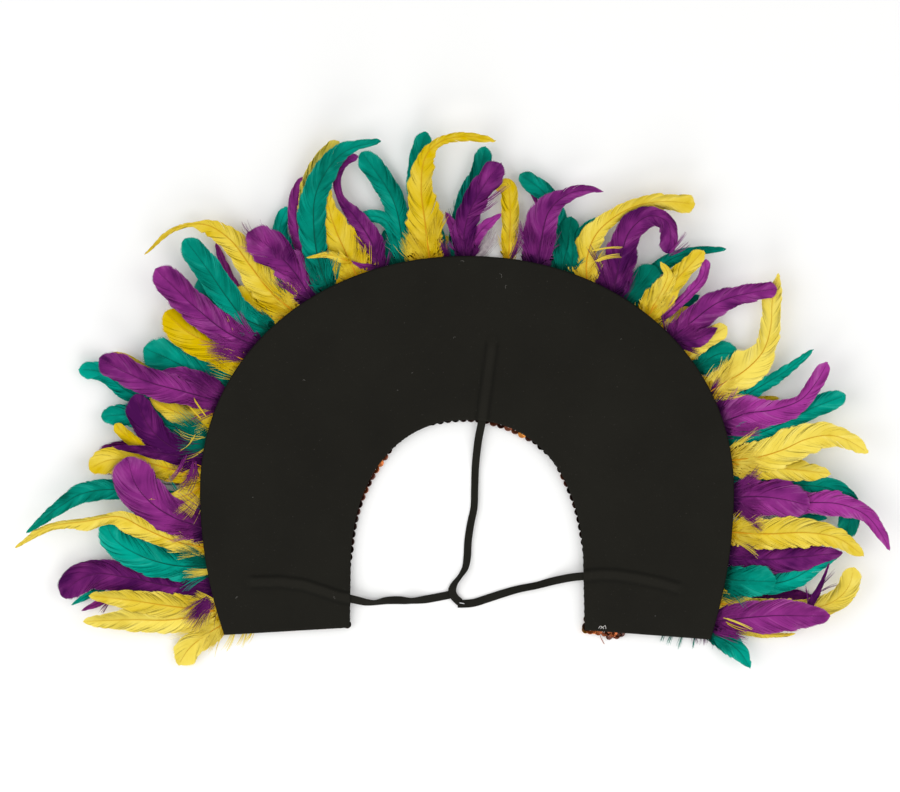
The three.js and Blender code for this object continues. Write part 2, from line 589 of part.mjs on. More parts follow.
// The quill's inner end, straight in under the panel from where the first feather of the plume leaves it
function quillRoot(spine) {
  const [first, second] = spine;
  const start = new THREE.Vector3(...first, 0);
  const inward = start.clone().sub(new THREE.Vector3(...second, 0)).normalize();
  const centre = new THREE.Vector3(0, Math.min(first[1], ARCH.outer.centreY), 0);
  const radial = centre.sub(start).normalize();
  return start.addScaledVector(inward.lerp(radial, FEATHER.quillTurn).normalize(), FEATHER.quillLength);
}

function plume(name) {
  const rows = FEATHERS.filter((row) => row.plume === name);
  const root = quillRoot(rows[0].spine);
  return geometryOf(rows.map((row) => feather(row, root)).reduce((a, b) => a.add(b)));
}

// Straps and staple

function restHeight(twist) {
  const turn = Math.abs(degToRad(twist));
  return STRAP.restGap + (STRAP.width / 2) * Math.sin(turn) + (STRAP.thickness / 2) * Math.cos(turn);
}

function strap(name) {
  const frames = strapFrames(name, STRAPS[name].points.length);
  const sections = frames.map(({ centre, side, up }, i) => {
    const z = Math.max(centre.z, restHeight(STRAPS[name].points[i].twist));
    return [[-1, -1], [1, -1], [1, 1], [-1, 1]].map(([s, t]) => centre.clone().setZ(z)
      .addScaledVector(side, (s * STRAP.width) / 2)
      .addScaledVector(up, (t * STRAP.thickness) / 2));
  });
  return solidOf(loft(sections));
}

function staplePlace(object) {
  object.rotateZ(degToRad(STAPLE.turn));
  object.translate(STAPLE.x, STAPLE.y, 0);
  return object;
}

function staplePiece(wire, legTop, legBottom) {
  return [-1, 1].map((side) => {
    const leg = new THREE.BoxGeometry(wire, wire, legTop - legBottom);
    leg.translate((side * (STAPLE.span - STAPLE.wire)) / 2, 0, (legTop + legBottom) / 2);
    return solidOf(staplePlace(leg));
  });
}

function staple() {
  const crown = new THREE.BoxGeometry(STAPLE.span, STAPLE.wire, STAPLE.wire);
  crown.translate(0, 0, STAPLE.crownZ);
  const legs = staplePiece(STAPLE.wire, STAPLE.crownZ, STAPLE.legBottom);
  return geometryOf(legs.reduce((solid, leg) => solid.add(leg), solidOf(staplePlace(crown))));
}

function stapledStrap(name) {
  const holes = staplePiece(STAPLE.wire + 2 * STAPLE.holeClearance, STAPLE.crownZ + 1, -1);
  return geometryOf(holes.reduce((solid, hole) => solid.subtract(hole), strap(name)));
}

// Sequin trim

function polyline(points) {
  const path = new THREE.CurvePath();
  for (let i = 1; i < points.length; i++) path.add(new THREE.LineCurve(points[i - 1], points[i]));
  return path;
}

// Along the left foot, up and round the arch and out along the right foot
function trimmedEdge() {
  const { left, right } = FEET;
  const footPoint = ({ outer, inner }, x) => {
    const share = (x - outer[0]) / (inner[0] - outer[0]);
    return new THREE.Vector2(...outer).lerp(new THREE.Vector2(...inner), share);
  };
  return polyline([
    footPoint(left, TRIM.leftFootX),
    ...horseshoeStations().map(innerEdge),
    footPoint(right, TRIM.rightFootX),
  ]);
}

// The thread through the middles of the sequins
function trimThread() {
  const edge = trimmedEdge();
  const length = edge.getLength();
  const steps = Math.round(length / TRIM.threadStep);
  const peekRows = TRIM_PEEK.map(({ along, peek }) => [along, peek]);
  const points = [];
  for (let i = 0; i <= steps; i++) {
    const ahead = edge.getTangentAt(i / steps);
    const towardsPanel = new THREE.Vector2(-ahead.y, ahead.x);
    const setBack = SEQUIN.diameter / 2 - fromTable(peekRows, (i * length) / steps);
    points.push(edge.getPointAt(i / steps).addScaledVector(towardsPanel, setBack));
  }
  return polyline(points);
}

function sequinTrim(from, to) {
  const thread = trimThread();
  const length = thread.getLength();
  const first = from === 0 ? 0 : from + TRIM.halvesGap / 2 / length;
  const last = to === 1 ? 1 : to - TRIM.halvesGap / 2 / length;
  const count = Math.ceil(((last - first) * length) / SEQUIN.pitch);
  const [low, high] = LAYERS_Z.sequins;
  const radius = SEQUIN.diameter / 2;
  const sequins = [];
  for (let i = 0; i <= count; i++) {
    const at = lerp(first, last, i / count);
    const p = thread.getPointAt(at);
    const ahead = thread.getTangentAt(at);
    const disc = new THREE.CylinderGeometry(radius, radius, high - low, SEQUIN.sides);
    disc.rotateX(Math.PI / 2);
    disc.rotateZ(Math.atan2(ahead.y, ahead.x));
    disc.translate(p.x, p.y, (low + high) / 2);
    sequins.push(solidOf(disc));
  }
  return geometryOf(sequins.reduce((a, b) => a.add(b)));
}

// The headdress

const headdress = new THREE.Group();

function addPiece(name, geometry, finish) {
  const mesh = new THREE.Mesh(geometry, new THREE.MeshStandardMaterial(COLOURS[finish]));
  mesh.name = name;
  headdress.add(mesh);
}

addPiece('back_panel', backPanel(), 'panel');
addPiece('front_facing', frontFacing(), 'facing');
addPiece('sequin_trim_left', sequinTrim(0, 0.5), 'sequin');
addPiece('sequin_trim_right', sequinTrim(0.5, 1), 'sequin');
addPiece('strap_top', stapledStrap('strap_top'), 'elastic');
addPiece('strap_left', geometryOf(strap('strap_left')), 'elastic');
addPiece('strap_right', stapledStrap('strap_right'), 'elastic');
addPiece('staple', staple(), 'staple');
for (const name of new Set(FEATHERS.map((row) => row.plume))) addPiece(`plume_${name}`, plume(name), name.split('_')[0]);

// The origin goes to the bottom centre of the whole
const box = new THREE.Box3().setFromObject(headdress);
const centre = box.getCenter(new THREE.Vector3());
headdress.position.set(-centre.x, -centre.y, -box.min.z);

export default headdress;
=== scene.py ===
# %% [markdown]
# # A carnival feather headdress, seen from behind
# The headdress lies on its front on a pale surface. A stiff horseshoe covered in black cloth goes round
# the head, dyed feathers fan out from under its outer edge, sequins edge the arch, and three flat
# elastic straps meet behind the head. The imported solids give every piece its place, and each piece
# here is a finer one in the same place.

# %% Load the solids
import math
from typing import NamedTuple

import bpy
import numpy as np
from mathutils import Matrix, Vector


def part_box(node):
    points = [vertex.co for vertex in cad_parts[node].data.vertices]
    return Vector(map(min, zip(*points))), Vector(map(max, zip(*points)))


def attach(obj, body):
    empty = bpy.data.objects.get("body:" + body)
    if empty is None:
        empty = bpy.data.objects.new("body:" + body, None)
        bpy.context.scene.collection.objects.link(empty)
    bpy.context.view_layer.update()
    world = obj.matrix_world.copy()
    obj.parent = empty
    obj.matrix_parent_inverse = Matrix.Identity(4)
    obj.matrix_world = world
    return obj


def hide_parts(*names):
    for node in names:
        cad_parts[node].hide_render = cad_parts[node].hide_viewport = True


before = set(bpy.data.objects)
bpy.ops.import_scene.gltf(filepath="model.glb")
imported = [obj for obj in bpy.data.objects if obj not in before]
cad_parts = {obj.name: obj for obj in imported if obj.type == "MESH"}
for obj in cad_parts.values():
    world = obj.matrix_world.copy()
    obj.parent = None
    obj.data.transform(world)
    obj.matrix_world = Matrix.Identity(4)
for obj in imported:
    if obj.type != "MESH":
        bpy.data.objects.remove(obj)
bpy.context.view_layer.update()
panel_low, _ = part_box("back_panel")


# %% [markdown]
# ## Millimetres on the panel
# A maker measures from the panel: X from its middle line, Y from the feet of the arch and Z from the
# table. All sizes below are in those millimetres. Two numbers turn them into the solids' own metres.

# %% From the panel's millimetres to metres
PANEL_LEFT, PANEL_FOOT = -187.0, -2.5
SHIFT_X = panel_low.x * 1000 - PANEL_LEFT
SHIFT_Y = panel_low.y * 1000 - PANEL_FOOT


def metres(points):
    """Points in the panel's millimetres, as metres."""
    return (np.asarray(points, float) + [SHIFT_X, SHIFT_Y, 0]) / 1000


print("the panel's zero lies at", round(SHIFT_X, 3), round(SHIFT_Y, 3), "mm")

# %% [markdown]
# ## Camera
# The picture was taken from straight above with a long lens, so the camera looks down from about
# three metres and hardly any perspective shows. The frame is 900 by 792 pixels at 0.7 mm a pixel.

# %% Camera
scene = bpy.context.scene
MM_PER_PIXEL = 0.7
PIXELS_ACROSS = 900
FRAME_CENTRE = (-11.9, 166.4)
LENS, SENSOR = 180.0, 36.0
PANEL_TOP = 7.5
CAMERA_HEIGHT = PIXELS_ACROSS * MM_PER_PIXEL * LENS / SENSOR + PANEL_TOP

camera_data = bpy.data.cameras.new("camera")
camera_data.lens = LENS
camera_data.sensor_width = SENSOR
camera_data.clip_end = 20
camera = bpy.data.objects.new("camera", camera_data)
scene.collection.objects.link(camera)
camera.location = metres([*FRAME_CENTRE, CAMERA_HEIGHT])
scene.camera = camera
print("camera", round(camera.location.z, 2), "m above the table")

# %% [markdown]
# ## Table and light
# The table is a plain pale sheet, far larger than the view. Broad soft lights stand for a studio's:
# a large one above each side and one below the feet, which rakes over the cloth. The standard view
# transform keeps the dyes as strong as they are in the picture.

# %% Table
TABLE_REACH = 6     # metres from the middle to each side

table_mesh = bpy.data.meshes.new("table")
table_corners = [(x * TABLE_REACH, y * TABLE_REACH, 0) for x, y in ((-1, -1), (1, -1), (1, 1), (-1, 1))]
table_mesh.from_pydata(table_corners, [], [(0, 1, 2, 3)])
table = bpy.data.objects.new("table", table_mesh)
scene.collection.objects.link(table)
print("table", 2 * TABLE_REACH, "m wide")

# %% Light
SKY_STRENGTH = 0.68

scene.view_settings.view_transform = "Standard"
world = bpy.data.worlds.new("studio")
world.use_nodes = True
sky = world.node_tree.nodes["Background"]
sky.inputs["Color"].default_value = (1, 1, 1, 1)
sky.inputs["Strength"].default_value = SKY_STRENGTH
scene.world = world

# name, place in metres, size in metres, power in watts
LIGHTS = [
    ("left light", (-1.3, -0.3, 1.5), 1.5, 10.5),
    ("right light", (1.3, -0.1, 1.5), 1.5, 8),
    ("foot light", (-0.1, -1.5, 0.9), 1.0, 10),
]
for name, place, size, power in LIGHTS:
    lamp = bpy.data.lights.new(name, "AREA")
    lamp.size = size
    lamp.energy = power
    holder = bpy.data.objects.new(name, lamp)
    scene.collection.objects.link(holder)
    holder.location = place
    holder.rotation_euler = Vector(place).to_track_quat("Z", "Y").to_euler()
    holder.visible_camera = False
print(len(LIGHTS), "soft lights")

# %% [markdown]
# ## Shader sums written as Python
# A material is a graph of nodes, which is slow to read. The class below wraps one socket, so that a sum
# such as `1 - dust * 0.4` adds its own Math nodes. Colours go through Mix nodes, because a Math node
# turns a colour grey. Every other node comes from one method, `node`.

# %% A socket in a sum
class Wire:
    """A socket of a material that takes part in sums."""

    def __init__(self, finish, socket):
        self.finish = finish
        self.socket = socket

    def math(self, operation, *others):
        return self.finish.node("ShaderNodeMath", {"operation": operation}, *others)

    def __add__(self, other):
        return self.math("ADD", self, other)

    def __radd__(self, other):
        return self.math("ADD", other, self)

    def __sub__(self, other):
        return self.math("SUBTRACT", self, other)

    def __rsub__(self, other):
        return self.math("SUBTRACT", other, self)

    def __mul__(self, other):
        return self.math("MULTIPLY", self, other)

    def __rmul__(self, other):
        return self.math("MULTIPLY", other, self)

    def __pow__(self, other):
        return self.math("POWER", self, other)

    def sine(self):
        return self.math("SINE", self)

    def clamped(self):
        return self.finish.node("ShaderNodeClamp", {}, self, 0.0, 1.0)


# %% A finish under construction
class Finish:
    """A material: a Principled surface and the nodes that feed it."""

    def __init__(self, name, **constants):
        self.material = bpy.data.materials.new(name)
        self.material.use_nodes = True
        self.tree = self.material.node_tree
        self.surface = self.tree.nodes["Principled BSDF"]
        for socket, value in constants.items():
            self.surface.inputs[socket.replace("_", " ")].default_value = value

    def node(self, kind, settings, *inputs, output=0, **named):
        """A node of a kind. Its settings come first, then the values or links of its sockets."""
        made = self.tree.nodes.new(kind)
        for setting, value in settings.items():
            if setting == "stops":
                self.set_stops(made.color_ramp, value)
            else:
                setattr(made, setting, value)
        places = list(enumerate(inputs)) + [(name.replace("_", " "), v) for name, v in named.items()]
        for place, value in places:
            socket = made.inputs[place]
            if isinstance(value, Wire):
                self.tree.links.new(value.socket, socket)
            elif value is not None:
                socket.default_value = value
        return Wire(self, made.outputs[output])

    def set_stops(self, ramp, stops):
        while len(ramp.elements) < len(stops):
            ramp.elements.new(1.0)
        for element, (position, colour) in zip(ramp.elements, stops):
            element.position = position
            element.color = colour

    def attribute(self, name):
        """A number that the mesh carries at each point."""
        return self.node("ShaderNodeAttribute", {"attribute_name": name}, output="Fac")

    def place(self):
        """The point's place on the piece, in metres."""
        return self.node("ShaderNodeTexCoord", {}, output="Object")

    def noise(self, scale, detail=2.0, roughness=0.5, at=None, stretch=None):
        vector = at or self.place()
        if stretch:
            vector = self.node("ShaderNodeMapping", {}, Vector=vector, Scale=stretch)
        return self.node("ShaderNodeTexNoise", {}, Vector=vector, Scale=scale, Detail=detail,
                         Roughness=roughness)

    def blend(self, share, first, second):
        """first where share is 0 and second where it is 1, as colours."""
        made = self.tree.nodes.new("ShaderNodeMix")
        made.data_type = "RGBA"
        sockets = {s.identifier: s for s in made.inputs}
        for name, value in (("Factor_Float", share), ("A_Color", first), ("B_Color", second)):
            if isinstance(value, Wire):
                self.tree.links.new(value.socket, sockets[name])
            else:
                sockets[name].default_value = value
        return Wire(self, {s.identifier: s for s in made.outputs}["Result_Color"])

    def bump(self, height, strength, depth):
        """A normal that follows a height between 0 and 1, depth metres deep."""
        return self.node("ShaderNodeBump", {}, Strength=strength, Distance=depth, Height=height)

    def feed(self, socket, wire):
        self.tree.links.new(wire.socket, self.surface.inputs[socket])


# %% Colours, and the table's own
def srgb(red, green, blue):
    """A colour as a picture program gives it, 0 to 255, in the light units that a shader works in."""
    shares = [v / 255 for v in (red, green, blue)]
    light = [s / 12.92 if s <= 0.04045 else ((s + 0.055) / 1.055) ** 2.4 for s in shares]
    return (*light, 1.0)


pale = Finish("table top", Roughness=0.9)
pale.feed("Base Color", pale.blend(pale.noise(3.0), srgb(247, 247, 246), srgb(250, 250, 249)))
table.data.materials.append(pale.material)

# %% [markdown]
# ## One way to make a mesh
# Each piece is worked out as arrays of points and faces, with a few numbers at each point that its
# material reads. One helper turns such arrays into an object that rides with the headdress and stands
# for its solid.

# %% Meshes from arrays
def piece(name, points, faces, finishes, solid=None, numbers=None, face_finish=None,
          flat_map=None):
    """An object from points in the panel's millimetres. numbers holds a value for each point, by name.
    flat_map gives each point a place on a flat map, for a mesh whose parts lie over each other."""
    mesh = bpy.data.meshes.new(name)
    mesh.from_pydata(metres(points).tolist(), [], faces if isinstance(faces, list) else faces.tolist())
    mesh.polygons.foreach_set("use_smooth", [True] * len(mesh.polygons))
    for material in finishes:
        mesh.materials.append(material)
    if face_finish is not None:
        mesh.polygons.foreach_set("material_index", np.asarray(face_finish, np.int32))
    for label, values in (numbers or {}).items():
        made = mesh.attributes.new(label, "FLOAT", "POINT")
        made.data.foreach_set("value", np.asarray(values, np.float32))
    if flat_map is not None:
        corners = np.zeros(len(mesh.loops), np.int32)
        mesh.loops.foreach_get("vertex_index", corners)
        layer = mesh.uv_layers.new(name="OFBake")
        layer.data.foreach_set("uv", np.asarray(flat_map, np.float32)[corners].ravel())
    mesh.update()
    made = bpy.data.objects.new(name, mesh)
    scene.collection.objects.link(made)
    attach(made, "root")
    if solid:
        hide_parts(solid)
    return made


# %% Faces of a grid, and a soft step
def grid_faces(rows, columns, closed_rows=False, start=0):
    """Faces of a grid of points, counted row by row. A closed row joins its last point to its first."""
    last = columns if closed_rows else columns - 1
    r, c = np.meshgrid(np.arange(rows - 1), np.arange(last), indexing="ij")
    a = start + r * columns + c
    b = start + r * columns + (c + 1) % columns
    return np.stack([a, b, b + columns, a + columns], -1).reshape(-1, 4)


def smoothstep(t):
    """0 up to 0, 1 from 1 on, and an S-shaped rise in between."""
    t = np.clip(t, 0, 1)
    return t * t * (3 - 2 * t)


# %% [markdown]
# ## The panel's outline
# The horseshoe is two arches, an outer and an inner one, each a rounded arch on two legs. A number u runs
# from 0 at the left foot over the top to 1 at the right foot.

# %% Outline of the horseshoe
LEG_SHARE = 0.2
OUTER = dict(centre_y=100, half_width=187, height=164.5, roundness=2.06)
INNER = dict(centre_y=45, half_width=81.5, height=104.5, roundness=2.2)
OUTER_FEET = ((-170, -1), (170.5, -4.2))
INNER_FEET = ((-82, 4.2), (82.5, 2.4))
LEG_BULGE_Y = 48


def arch(u, centre_y, half_width, height, roundness):
    """Points of a rounded arch. A roundness of 2 is an ellipse, and more is squarer."""
    angle = math.pi * (1 - (u - LEG_SHARE) / (1 - 2 * LEG_SHARE))
    c, s = np.cos(angle), np.clip(np.sin(angle), 0, 1)
    power = 2 / roundness
    return np.stack([np.sign(c) * half_width * abs(c) ** power, centre_y + height * s ** power], -1)


def leg(share, foot, bulge, top):
    """A point on a leg, share of the way up, pulled towards its bulge."""
    foot, bulge, top = (np.asarray(p, float) for p in (foot, bulge, top))
    t = share[:, None]
    return (1 - t) ** 2 * foot + 2 * t * (1 - t) * bulge + t ** 2 * top


def edge(u, shape, feet, bulge_y):
    """Points of one edge of the horseshoe: an arch with a leg at each end."""
    u = np.atleast_1d(np.asarray(u, float))
    points = arch(np.clip(u, LEG_SHARE, 1 - LEG_SHARE), **shape)
    for side, (x, y) in zip((-1, 1), feet):
        on_leg = u < LEG_SHARE if side < 0 else u > 1 - LEG_SHARE
        share = (u if side < 0 else 1 - u) / LEG_SHARE
        top = (side * shape["half_width"], shape["centre_y"])
        middle = ((x + top[0]) / 2, (y + top[1]) / 2)
        bulge = (top[0], bulge_y) if bulge_y else middle
        points[on_leg] = leg(share, (x, y), bulge, top)[on_leg]
    return points


def outer_edge(u):
    return edge(u, OUTER, OUTER_FEET, LEG_BULGE_Y)


def inner_edge(u):
    return edge(u, INNER, INNER_FEET, None)


all_round = np.linspace(0, 1, 401)
print("panel", np.ptp(outer_edge(all_round), axis=0).round(1), "mm wide and high,",
      "arch", np.ptp(inner_edge(all_round), axis=0).round(1))


# %% Distances to a line of points
def distance_to(points, line, closed=False):
    """Each point's distance to a line through points, and how far along the line the nearest place is."""
    ends = np.roll(line, -1, axis=0) if closed else line[1:]
    starts = line if closed else line[:-1]
    run = ends - starts
    length = np.hypot(*run.T)
    before = np.concatenate([[0], np.cumsum(length)[:-1]])
    best = np.full(len(points), np.inf)
    along = np.zeros(len(points))
    for a, d, size, covered in zip(starts, run, length, before):
        if size == 0:
            continue
        share = np.clip(((points - a) @ d) / size ** 2, 0, 1)
        gap = np.hypot(*(points - a - share[:, None] * d).T)
        nearer = gap < best
        best[nearer] = gap[nearer]
        along[nearer] = covered + share[nearer] * size
    return best, along


def inside(points, ring):
    """Whether each point lies inside a closed ring."""
    result = np.zeros(len(points), bool)
    for a, b in zip(ring, np.roll(ring, -1, axis=0)):
        if a[1] == b[1]:
            continue
        crosses = (a[1] > points[:, 1]) != (b[1] > points[:, 1])
        result ^= crosses & (points[:, 0] < a[0] + (b[0] - a[0]) * (points[:, 1] - a[1]) / (b[1] - a[1]))
    return result

# %% [markdown]
# ## The cloth-covered board
# The real one is a board wrapped in thin black cloth, so its edges are softly rounded all round. It could
# be an extruded outline with a bevel, but a bevel doesn't give the low ridges where the elastic runs
# between board and cloth. Here the top is a fine grid whose height follows two distances: the one to
# the nearest edge, which rounds it, and the one to each hidden strap, which raises the ridge.

# %% Where the straps run, hidden and free
# x, y, height of the middle or 0 where it lies on the table, twist in degrees
POCKET_Z = 6.1
STRAPS = {
    "strap_top": dict(hidden=4, rows=[
        (18, 205, POCKET_Z, 0), (15.3, 185, POCKET_Z, 0), (12.4, 165, POCKET_Z, 0),
        (10.5, 149, POCKET_Z, 0), (8, 136, 4.8, 8), (6, 118, 2.6, 22), (5.4, 102, 0, 28), (4.9, 88, 0, 28),
        (2.6, 77, 0, 24), (0.7, 64, 0, 20), (0.2, 54, 0, 20), (-1.2, 46, 0, 38), (-5.2, 39.5, 0, 58),
        (-9, 34.2, 2.9, 40), (-10.4, 29.5, 2.3, 0), (-8.6, 25.2, 2.2, 0), (-5, 21.8, 2.2, 0)]),
    "strap_left": dict(hidden=6, rows=[
        (-153, 36, POCKET_Z, 0), (-131, 36.4, POCKET_Z, 0), (-115, 34.3, POCKET_Z, 0),
        (-101, 30, POCKET_Z, 0), (-91, 26.4, POCKET_Z, 0), (-81, 24.3, POCKET_Z, 0), (-75.5, 23, 5, 12),
        (-70, 21.7, 3.2, 35), (-64, 21.6, 0, 50), (-57, 22.9, 0, 25), (-48, 23.2, 0, 8), (-39, 22.8, 0, 42),
        (-29, 23.8, 0, 12), (-19, 25.6, 0, 0), (-12.5, 26.9, 0, 0), (-8.5, 27.6, 0, 0)]),
    "strap_right": dict(hidden=6, rows=[
        (150, 31, POCKET_Z, 0), (135, 35.5, POCKET_Z, 0), (118, 39, POCKET_Z, 0), (104, 41.1, POCKET_Z, 0),
        (93, 41.4, POCKET_Z, 0), (82, 40.3, POCKET_Z, 0), (73, 39.3, 4.8, 0), (61, 36.8, 2.8, 12),
        (49, 33.6, 0, 30), (36, 31, 0, 24), (24, 27.5, 0, 10), (14, 24.2, 0, 0), (5, 21.4, 0, 0),
        (-1, 20.7, 0, 0), (-6.5, 20.7, 0, 0)]),
}

# %% Faces of a slab
def slab_faces(rows, columns):
    """Faces of a closed slab between an upper and a lower grid of points, the upper one counted first."""
    below = rows * columns
    count = np.arange(below).reshape(rows, columns)

    def wall(rim, forwards):
        here, onward = rim[:-1], rim[1:]
        if forwards:
            return np.stack([here, onward, below + onward, below + here], -1)
        return np.stack([here, below + here, below + onward, onward], -1)

    return np.concatenate([grid_faces(rows, columns)[:, ::-1], grid_faces(rows, columns, start=below),
                           wall(count[:, 0], True), wall(count[:, -1], False),
                           wall(count[0], False), wall(count[-1], True)])


# %% A horseshoe pad with rounded edges
# where the grid is finer: millimetres from an edge, and shares of the way round from a foot
NEAR_EDGE = np.array([0, 0.1, 0.35, 0.8, 1.4, 2.2, 3.4])
NEAR_FOOT = np.array([0, 0.0003, 0.001, 0.0022, 0.004, 0.007, 0.012])
FOOT_SHARE, BODY_STATIONS = 0.02, 420


def pad(stations, columns, margins, low, high, rounding, relief=None):
    """Points and faces of a horseshoe pad. margins are its distances from the panel's inner and outer
    edges, low and high its heights over the distance from the inner edge, and relief adds to the top."""
    first, last = stations
    body = np.linspace(first + FOOT_SHARE, last - FOOT_SHARE, BODY_STATIONS)
    u = np.concatenate([first + NEAR_FOOT, body, (last - NEAR_FOOT)[::-1]])
    inner, outer = inner_edge(u), outer_edge(u)
    width = np.hypot(*(outer - inner).T)
    near = margins[0] + NEAR_EDGE
    share = np.linspace(0, 1, columns)[1:-1]
    from_inner = np.stack([
        np.concatenate([near, near[-1] + share * (w - margins[1] - NEAR_EDGE[-1] - near[-1]),
                        (w - margins[1] - NEAR_EDGE)[::-1]])
        for w in width])
    flat = inner[:, None] + (outer - inner)[:, None] * (from_inner / width[:, None])[..., None]
    spots = flat.reshape(-1, 2)
    to_feet = np.minimum(distance_to(spots, flat[0])[0], distance_to(spots, flat[-1])[0])
    to_sides = np.minimum(from_inner - margins[0], width[:, None] - margins[1] - from_inner).ravel()
    gap = np.clip(np.minimum(to_feet, to_sides), 0, rounding)
    drop = rounding - np.sqrt(rounding ** 2 - (rounding - gap) ** 2)
    top = high(from_inner.ravel()) - drop
    if relief is not None:
        top = top + relief(spots)
    bottom = low(from_inner.ravel()) + drop
    points = np.concatenate([np.column_stack([spots, top]), np.column_stack([spots, bottom])])
    return points, slab_faces(*from_inner.shape)


def level(height):
    """One height all over, as pad asks for it."""
    return lambda distance: np.full(len(distance), float(height))


# %% Ridges over the straps
RIDGE_HEIGHT = 1.1


def hidden_runs(spots):
    """Each spot's distance from each hidden strap, and how far along the strap it lies."""
    for strap in STRAPS.values():
        run = np.array([row[:2] for row in strap["rows"][:strap["hidden"] + 1]], float)
        yield distance_to(spots, run)


def ridges(spots):
    """Height that the hidden straps and the soft board add under the cloth."""
    raised = np.zeros(len(spots))
    for gap, along in hidden_runs(spots):
        profile = smoothstep((5.2 - gap) / 3.2) * smoothstep(along / 7 + 0.15)
        raised = np.maximum(raised, RIDGE_HEIGHT * profile)
    x, y = spots.T
    uneven = 0.94 + 0.06 * np.sin(x / 7) * np.sin(y / 9)
    dents = (0.06 * np.sin(x / 23 + y / 31) + 0.05 * np.sin(x / 11 - y / 17 + 2)
             + 0.03 * np.sin(y / 6.3 + x / 40))
    return raised * uneven + np.minimum(dents - 0.08, 0)


# %% The board, and its painted highlight and shade along the ridges
BOARD_BOTTOM = 4

board_points, board_faces = pad((0, 1), 64, (0, 0), level(BOARD_BOTTOM), level(PANEL_TOP), 1.3, ridges)
# painted highlight on top of the ridges over the hidden straps, and painted shade in a line along their
# edges
worn, crease = np.zeros(len(board_points)), np.zeros(len(board_points))
for gap, along in hidden_runs(board_points[:, :2]):
    shown = smoothstep(along / 5 + 0.3)
    worn = np.maximum(worn, smoothstep((3.4 - gap) / 2) * shown)
    crease = np.maximum(crease, np.exp(-((gap - 4.3) / 1.1) ** 2) * shown)
print(len(board_faces), "faces on the board,", int((worn > 0.5).sum()), "points on its ridges")


# %% [markdown]
# ### The cloth's finish
# Plain-woven lining cloth: threads half a millimetre apart cross at right angles, a little uneven, and
# dust has settled on it. The threads are two waves along X and Y, used only as relief and as a very
# small change of colour, since the real cloth is almost black. A fine noise, cut off high, leaves single
# specks of dust, and a wide one makes the black a little uneven.

# %% Weave and dust
THREAD_PITCH = 0.00062      # metres
WAVE_SCALE = 0.314          # the wave node's scale for one wave in a metre

cloth = Finish("black cloth", Roughness=0.85)
cloth.surface.inputs["Specular IOR Level"].default_value = 0.08
wobble = cloth.noise(45, detail=2)


def threads_across(axis):
    """A wave for each thread, from 0 between two threads to 1 on one."""
    return cloth.node("ShaderNodeTexWave", {"wave_type": "BANDS", "bands_direction": axis},
                      Vector=cloth.place(), Scale=WAVE_SCALE / THREAD_PITCH, Distortion=1.2,
                      Detail=1.0, Detail_Scale=0.4, output="Fac")


weave = threads_across("X") * threads_across("Y")
patches = cloth.noise(14, detail=4, roughness=0.6)
dust = (cloth.noise(900, detail=1) - 0.72).clamped() * 3
tone = cloth.blend((patches * 1.6 - 0.4).clamped(), srgb(23, 22, 18), srgb(31, 30, 25))
# painted highlight on the ridges and painted shade along their edges, standing in for light raking over them
tone = cloth.blend(cloth.attribute("worn") * 0.2, tone, srgb(44, 42, 37))
tone = cloth.blend(cloth.attribute("crease") * 0.5, tone, srgb(9, 9, 7))
woven = cloth.blend(weave * 0.4, tone, srgb(40, 39, 34))
cloth.feed("Base Color", cloth.blend((dust * 0.5).clamped(), woven, srgb(110, 106, 98)))
cloth.feed("Normal", cloth.bump(weave * 0.8 + wobble * 0.4, 0.55, 0.00025))
piece("board_in_cloth", board_points, board_faces, [cloth.material], "back_panel",
      {"worn": worn, "crease": crease})

# %% [markdown]
# ## The facing
# On the real headdress a second, smaller sheet hides the quills on the front, where the picture shows
# only its copper-brown edge. It is the same kind of pad, thinner, and it rises to the board near the arch.

# %% Front facing
FACING_THICKNESS, FACING_RISE = 2.0, 1.7


def facing_low(distance):
    return FACING_RISE * smoothstep((22 - distance) / 14)


def facing_high(distance):
    return facing_low(distance) + FACING_THICKNESS


facing_points, facing_faces = pad((0.035, 0.965), 26, (8, 26), facing_low, facing_high, 0.9)
print(len(facing_faces), "faces on the facing")
facing_finish = Finish("copper-brown cloth", Roughness=0.75, Sheen_Weight=0.3)
grain = facing_finish.noise(700, detail=2)
facing_finish.feed("Base Color", facing_finish.blend(grain, srgb(64, 28, 16), srgb(98, 46, 26)))
facing_finish.feed("Normal", facing_finish.bump(grain, 0.4, 0.0003))
piece("facing", facing_points, facing_faces, [facing_finish.material], "front_facing")

# %% [markdown]
# ## Many small parts in one mesh
# Sequins, threads and barbs come in hundreds. Making an object of each would be slow to draw and to
# move, so a heap collects the arrays of all the small parts and makes one mesh at the end.

# %% A heap of parts
class Heap:
    """Collects parts: points, faces, a finish for each face and named numbers for each point."""

    def __init__(self):
        self.points, self.faces, self.finish, self.numbers, self.maps = [], [], [], {}, []
        self.count = 0

    def add(self, points, faces, finish=0, flat_map=None, **numbers):
        points = np.asarray(points, float)
        self.points.append(points)
        self.faces.append(np.asarray(faces) + self.count)
        self.finish.append(np.full(len(faces), finish))
        self.maps.append(np.zeros((len(points), 2)) if flat_map is None else flat_map)
        for label, values in numbers.items():
            filled = np.broadcast_to(np.asarray(values, float), (len(points),))
            self.numbers.setdefault(label, []).append(filled)
        self.count += len(points)

    def make(self, name, finishes, solid=None, slot=None, mapped=False):
        faces = [face for block in self.faces for face in block.tolist()]
        numbers = {label: np.concatenate(blocks) for label, blocks in self.numbers.items()}
        return piece(name, np.concatenate(self.points), faces, finishes, solid, numbers,
                     np.concatenate(self.finish), np.concatenate(self.maps) if mapped else None)


# %% A tube along a path
def directions(points):
    """The unit direction of a line of points, at each point."""
    run = np.gradient(points, axis=0)
    return run / np.maximum(np.linalg.norm(run, axis=1, keepdims=True), 1e-9)


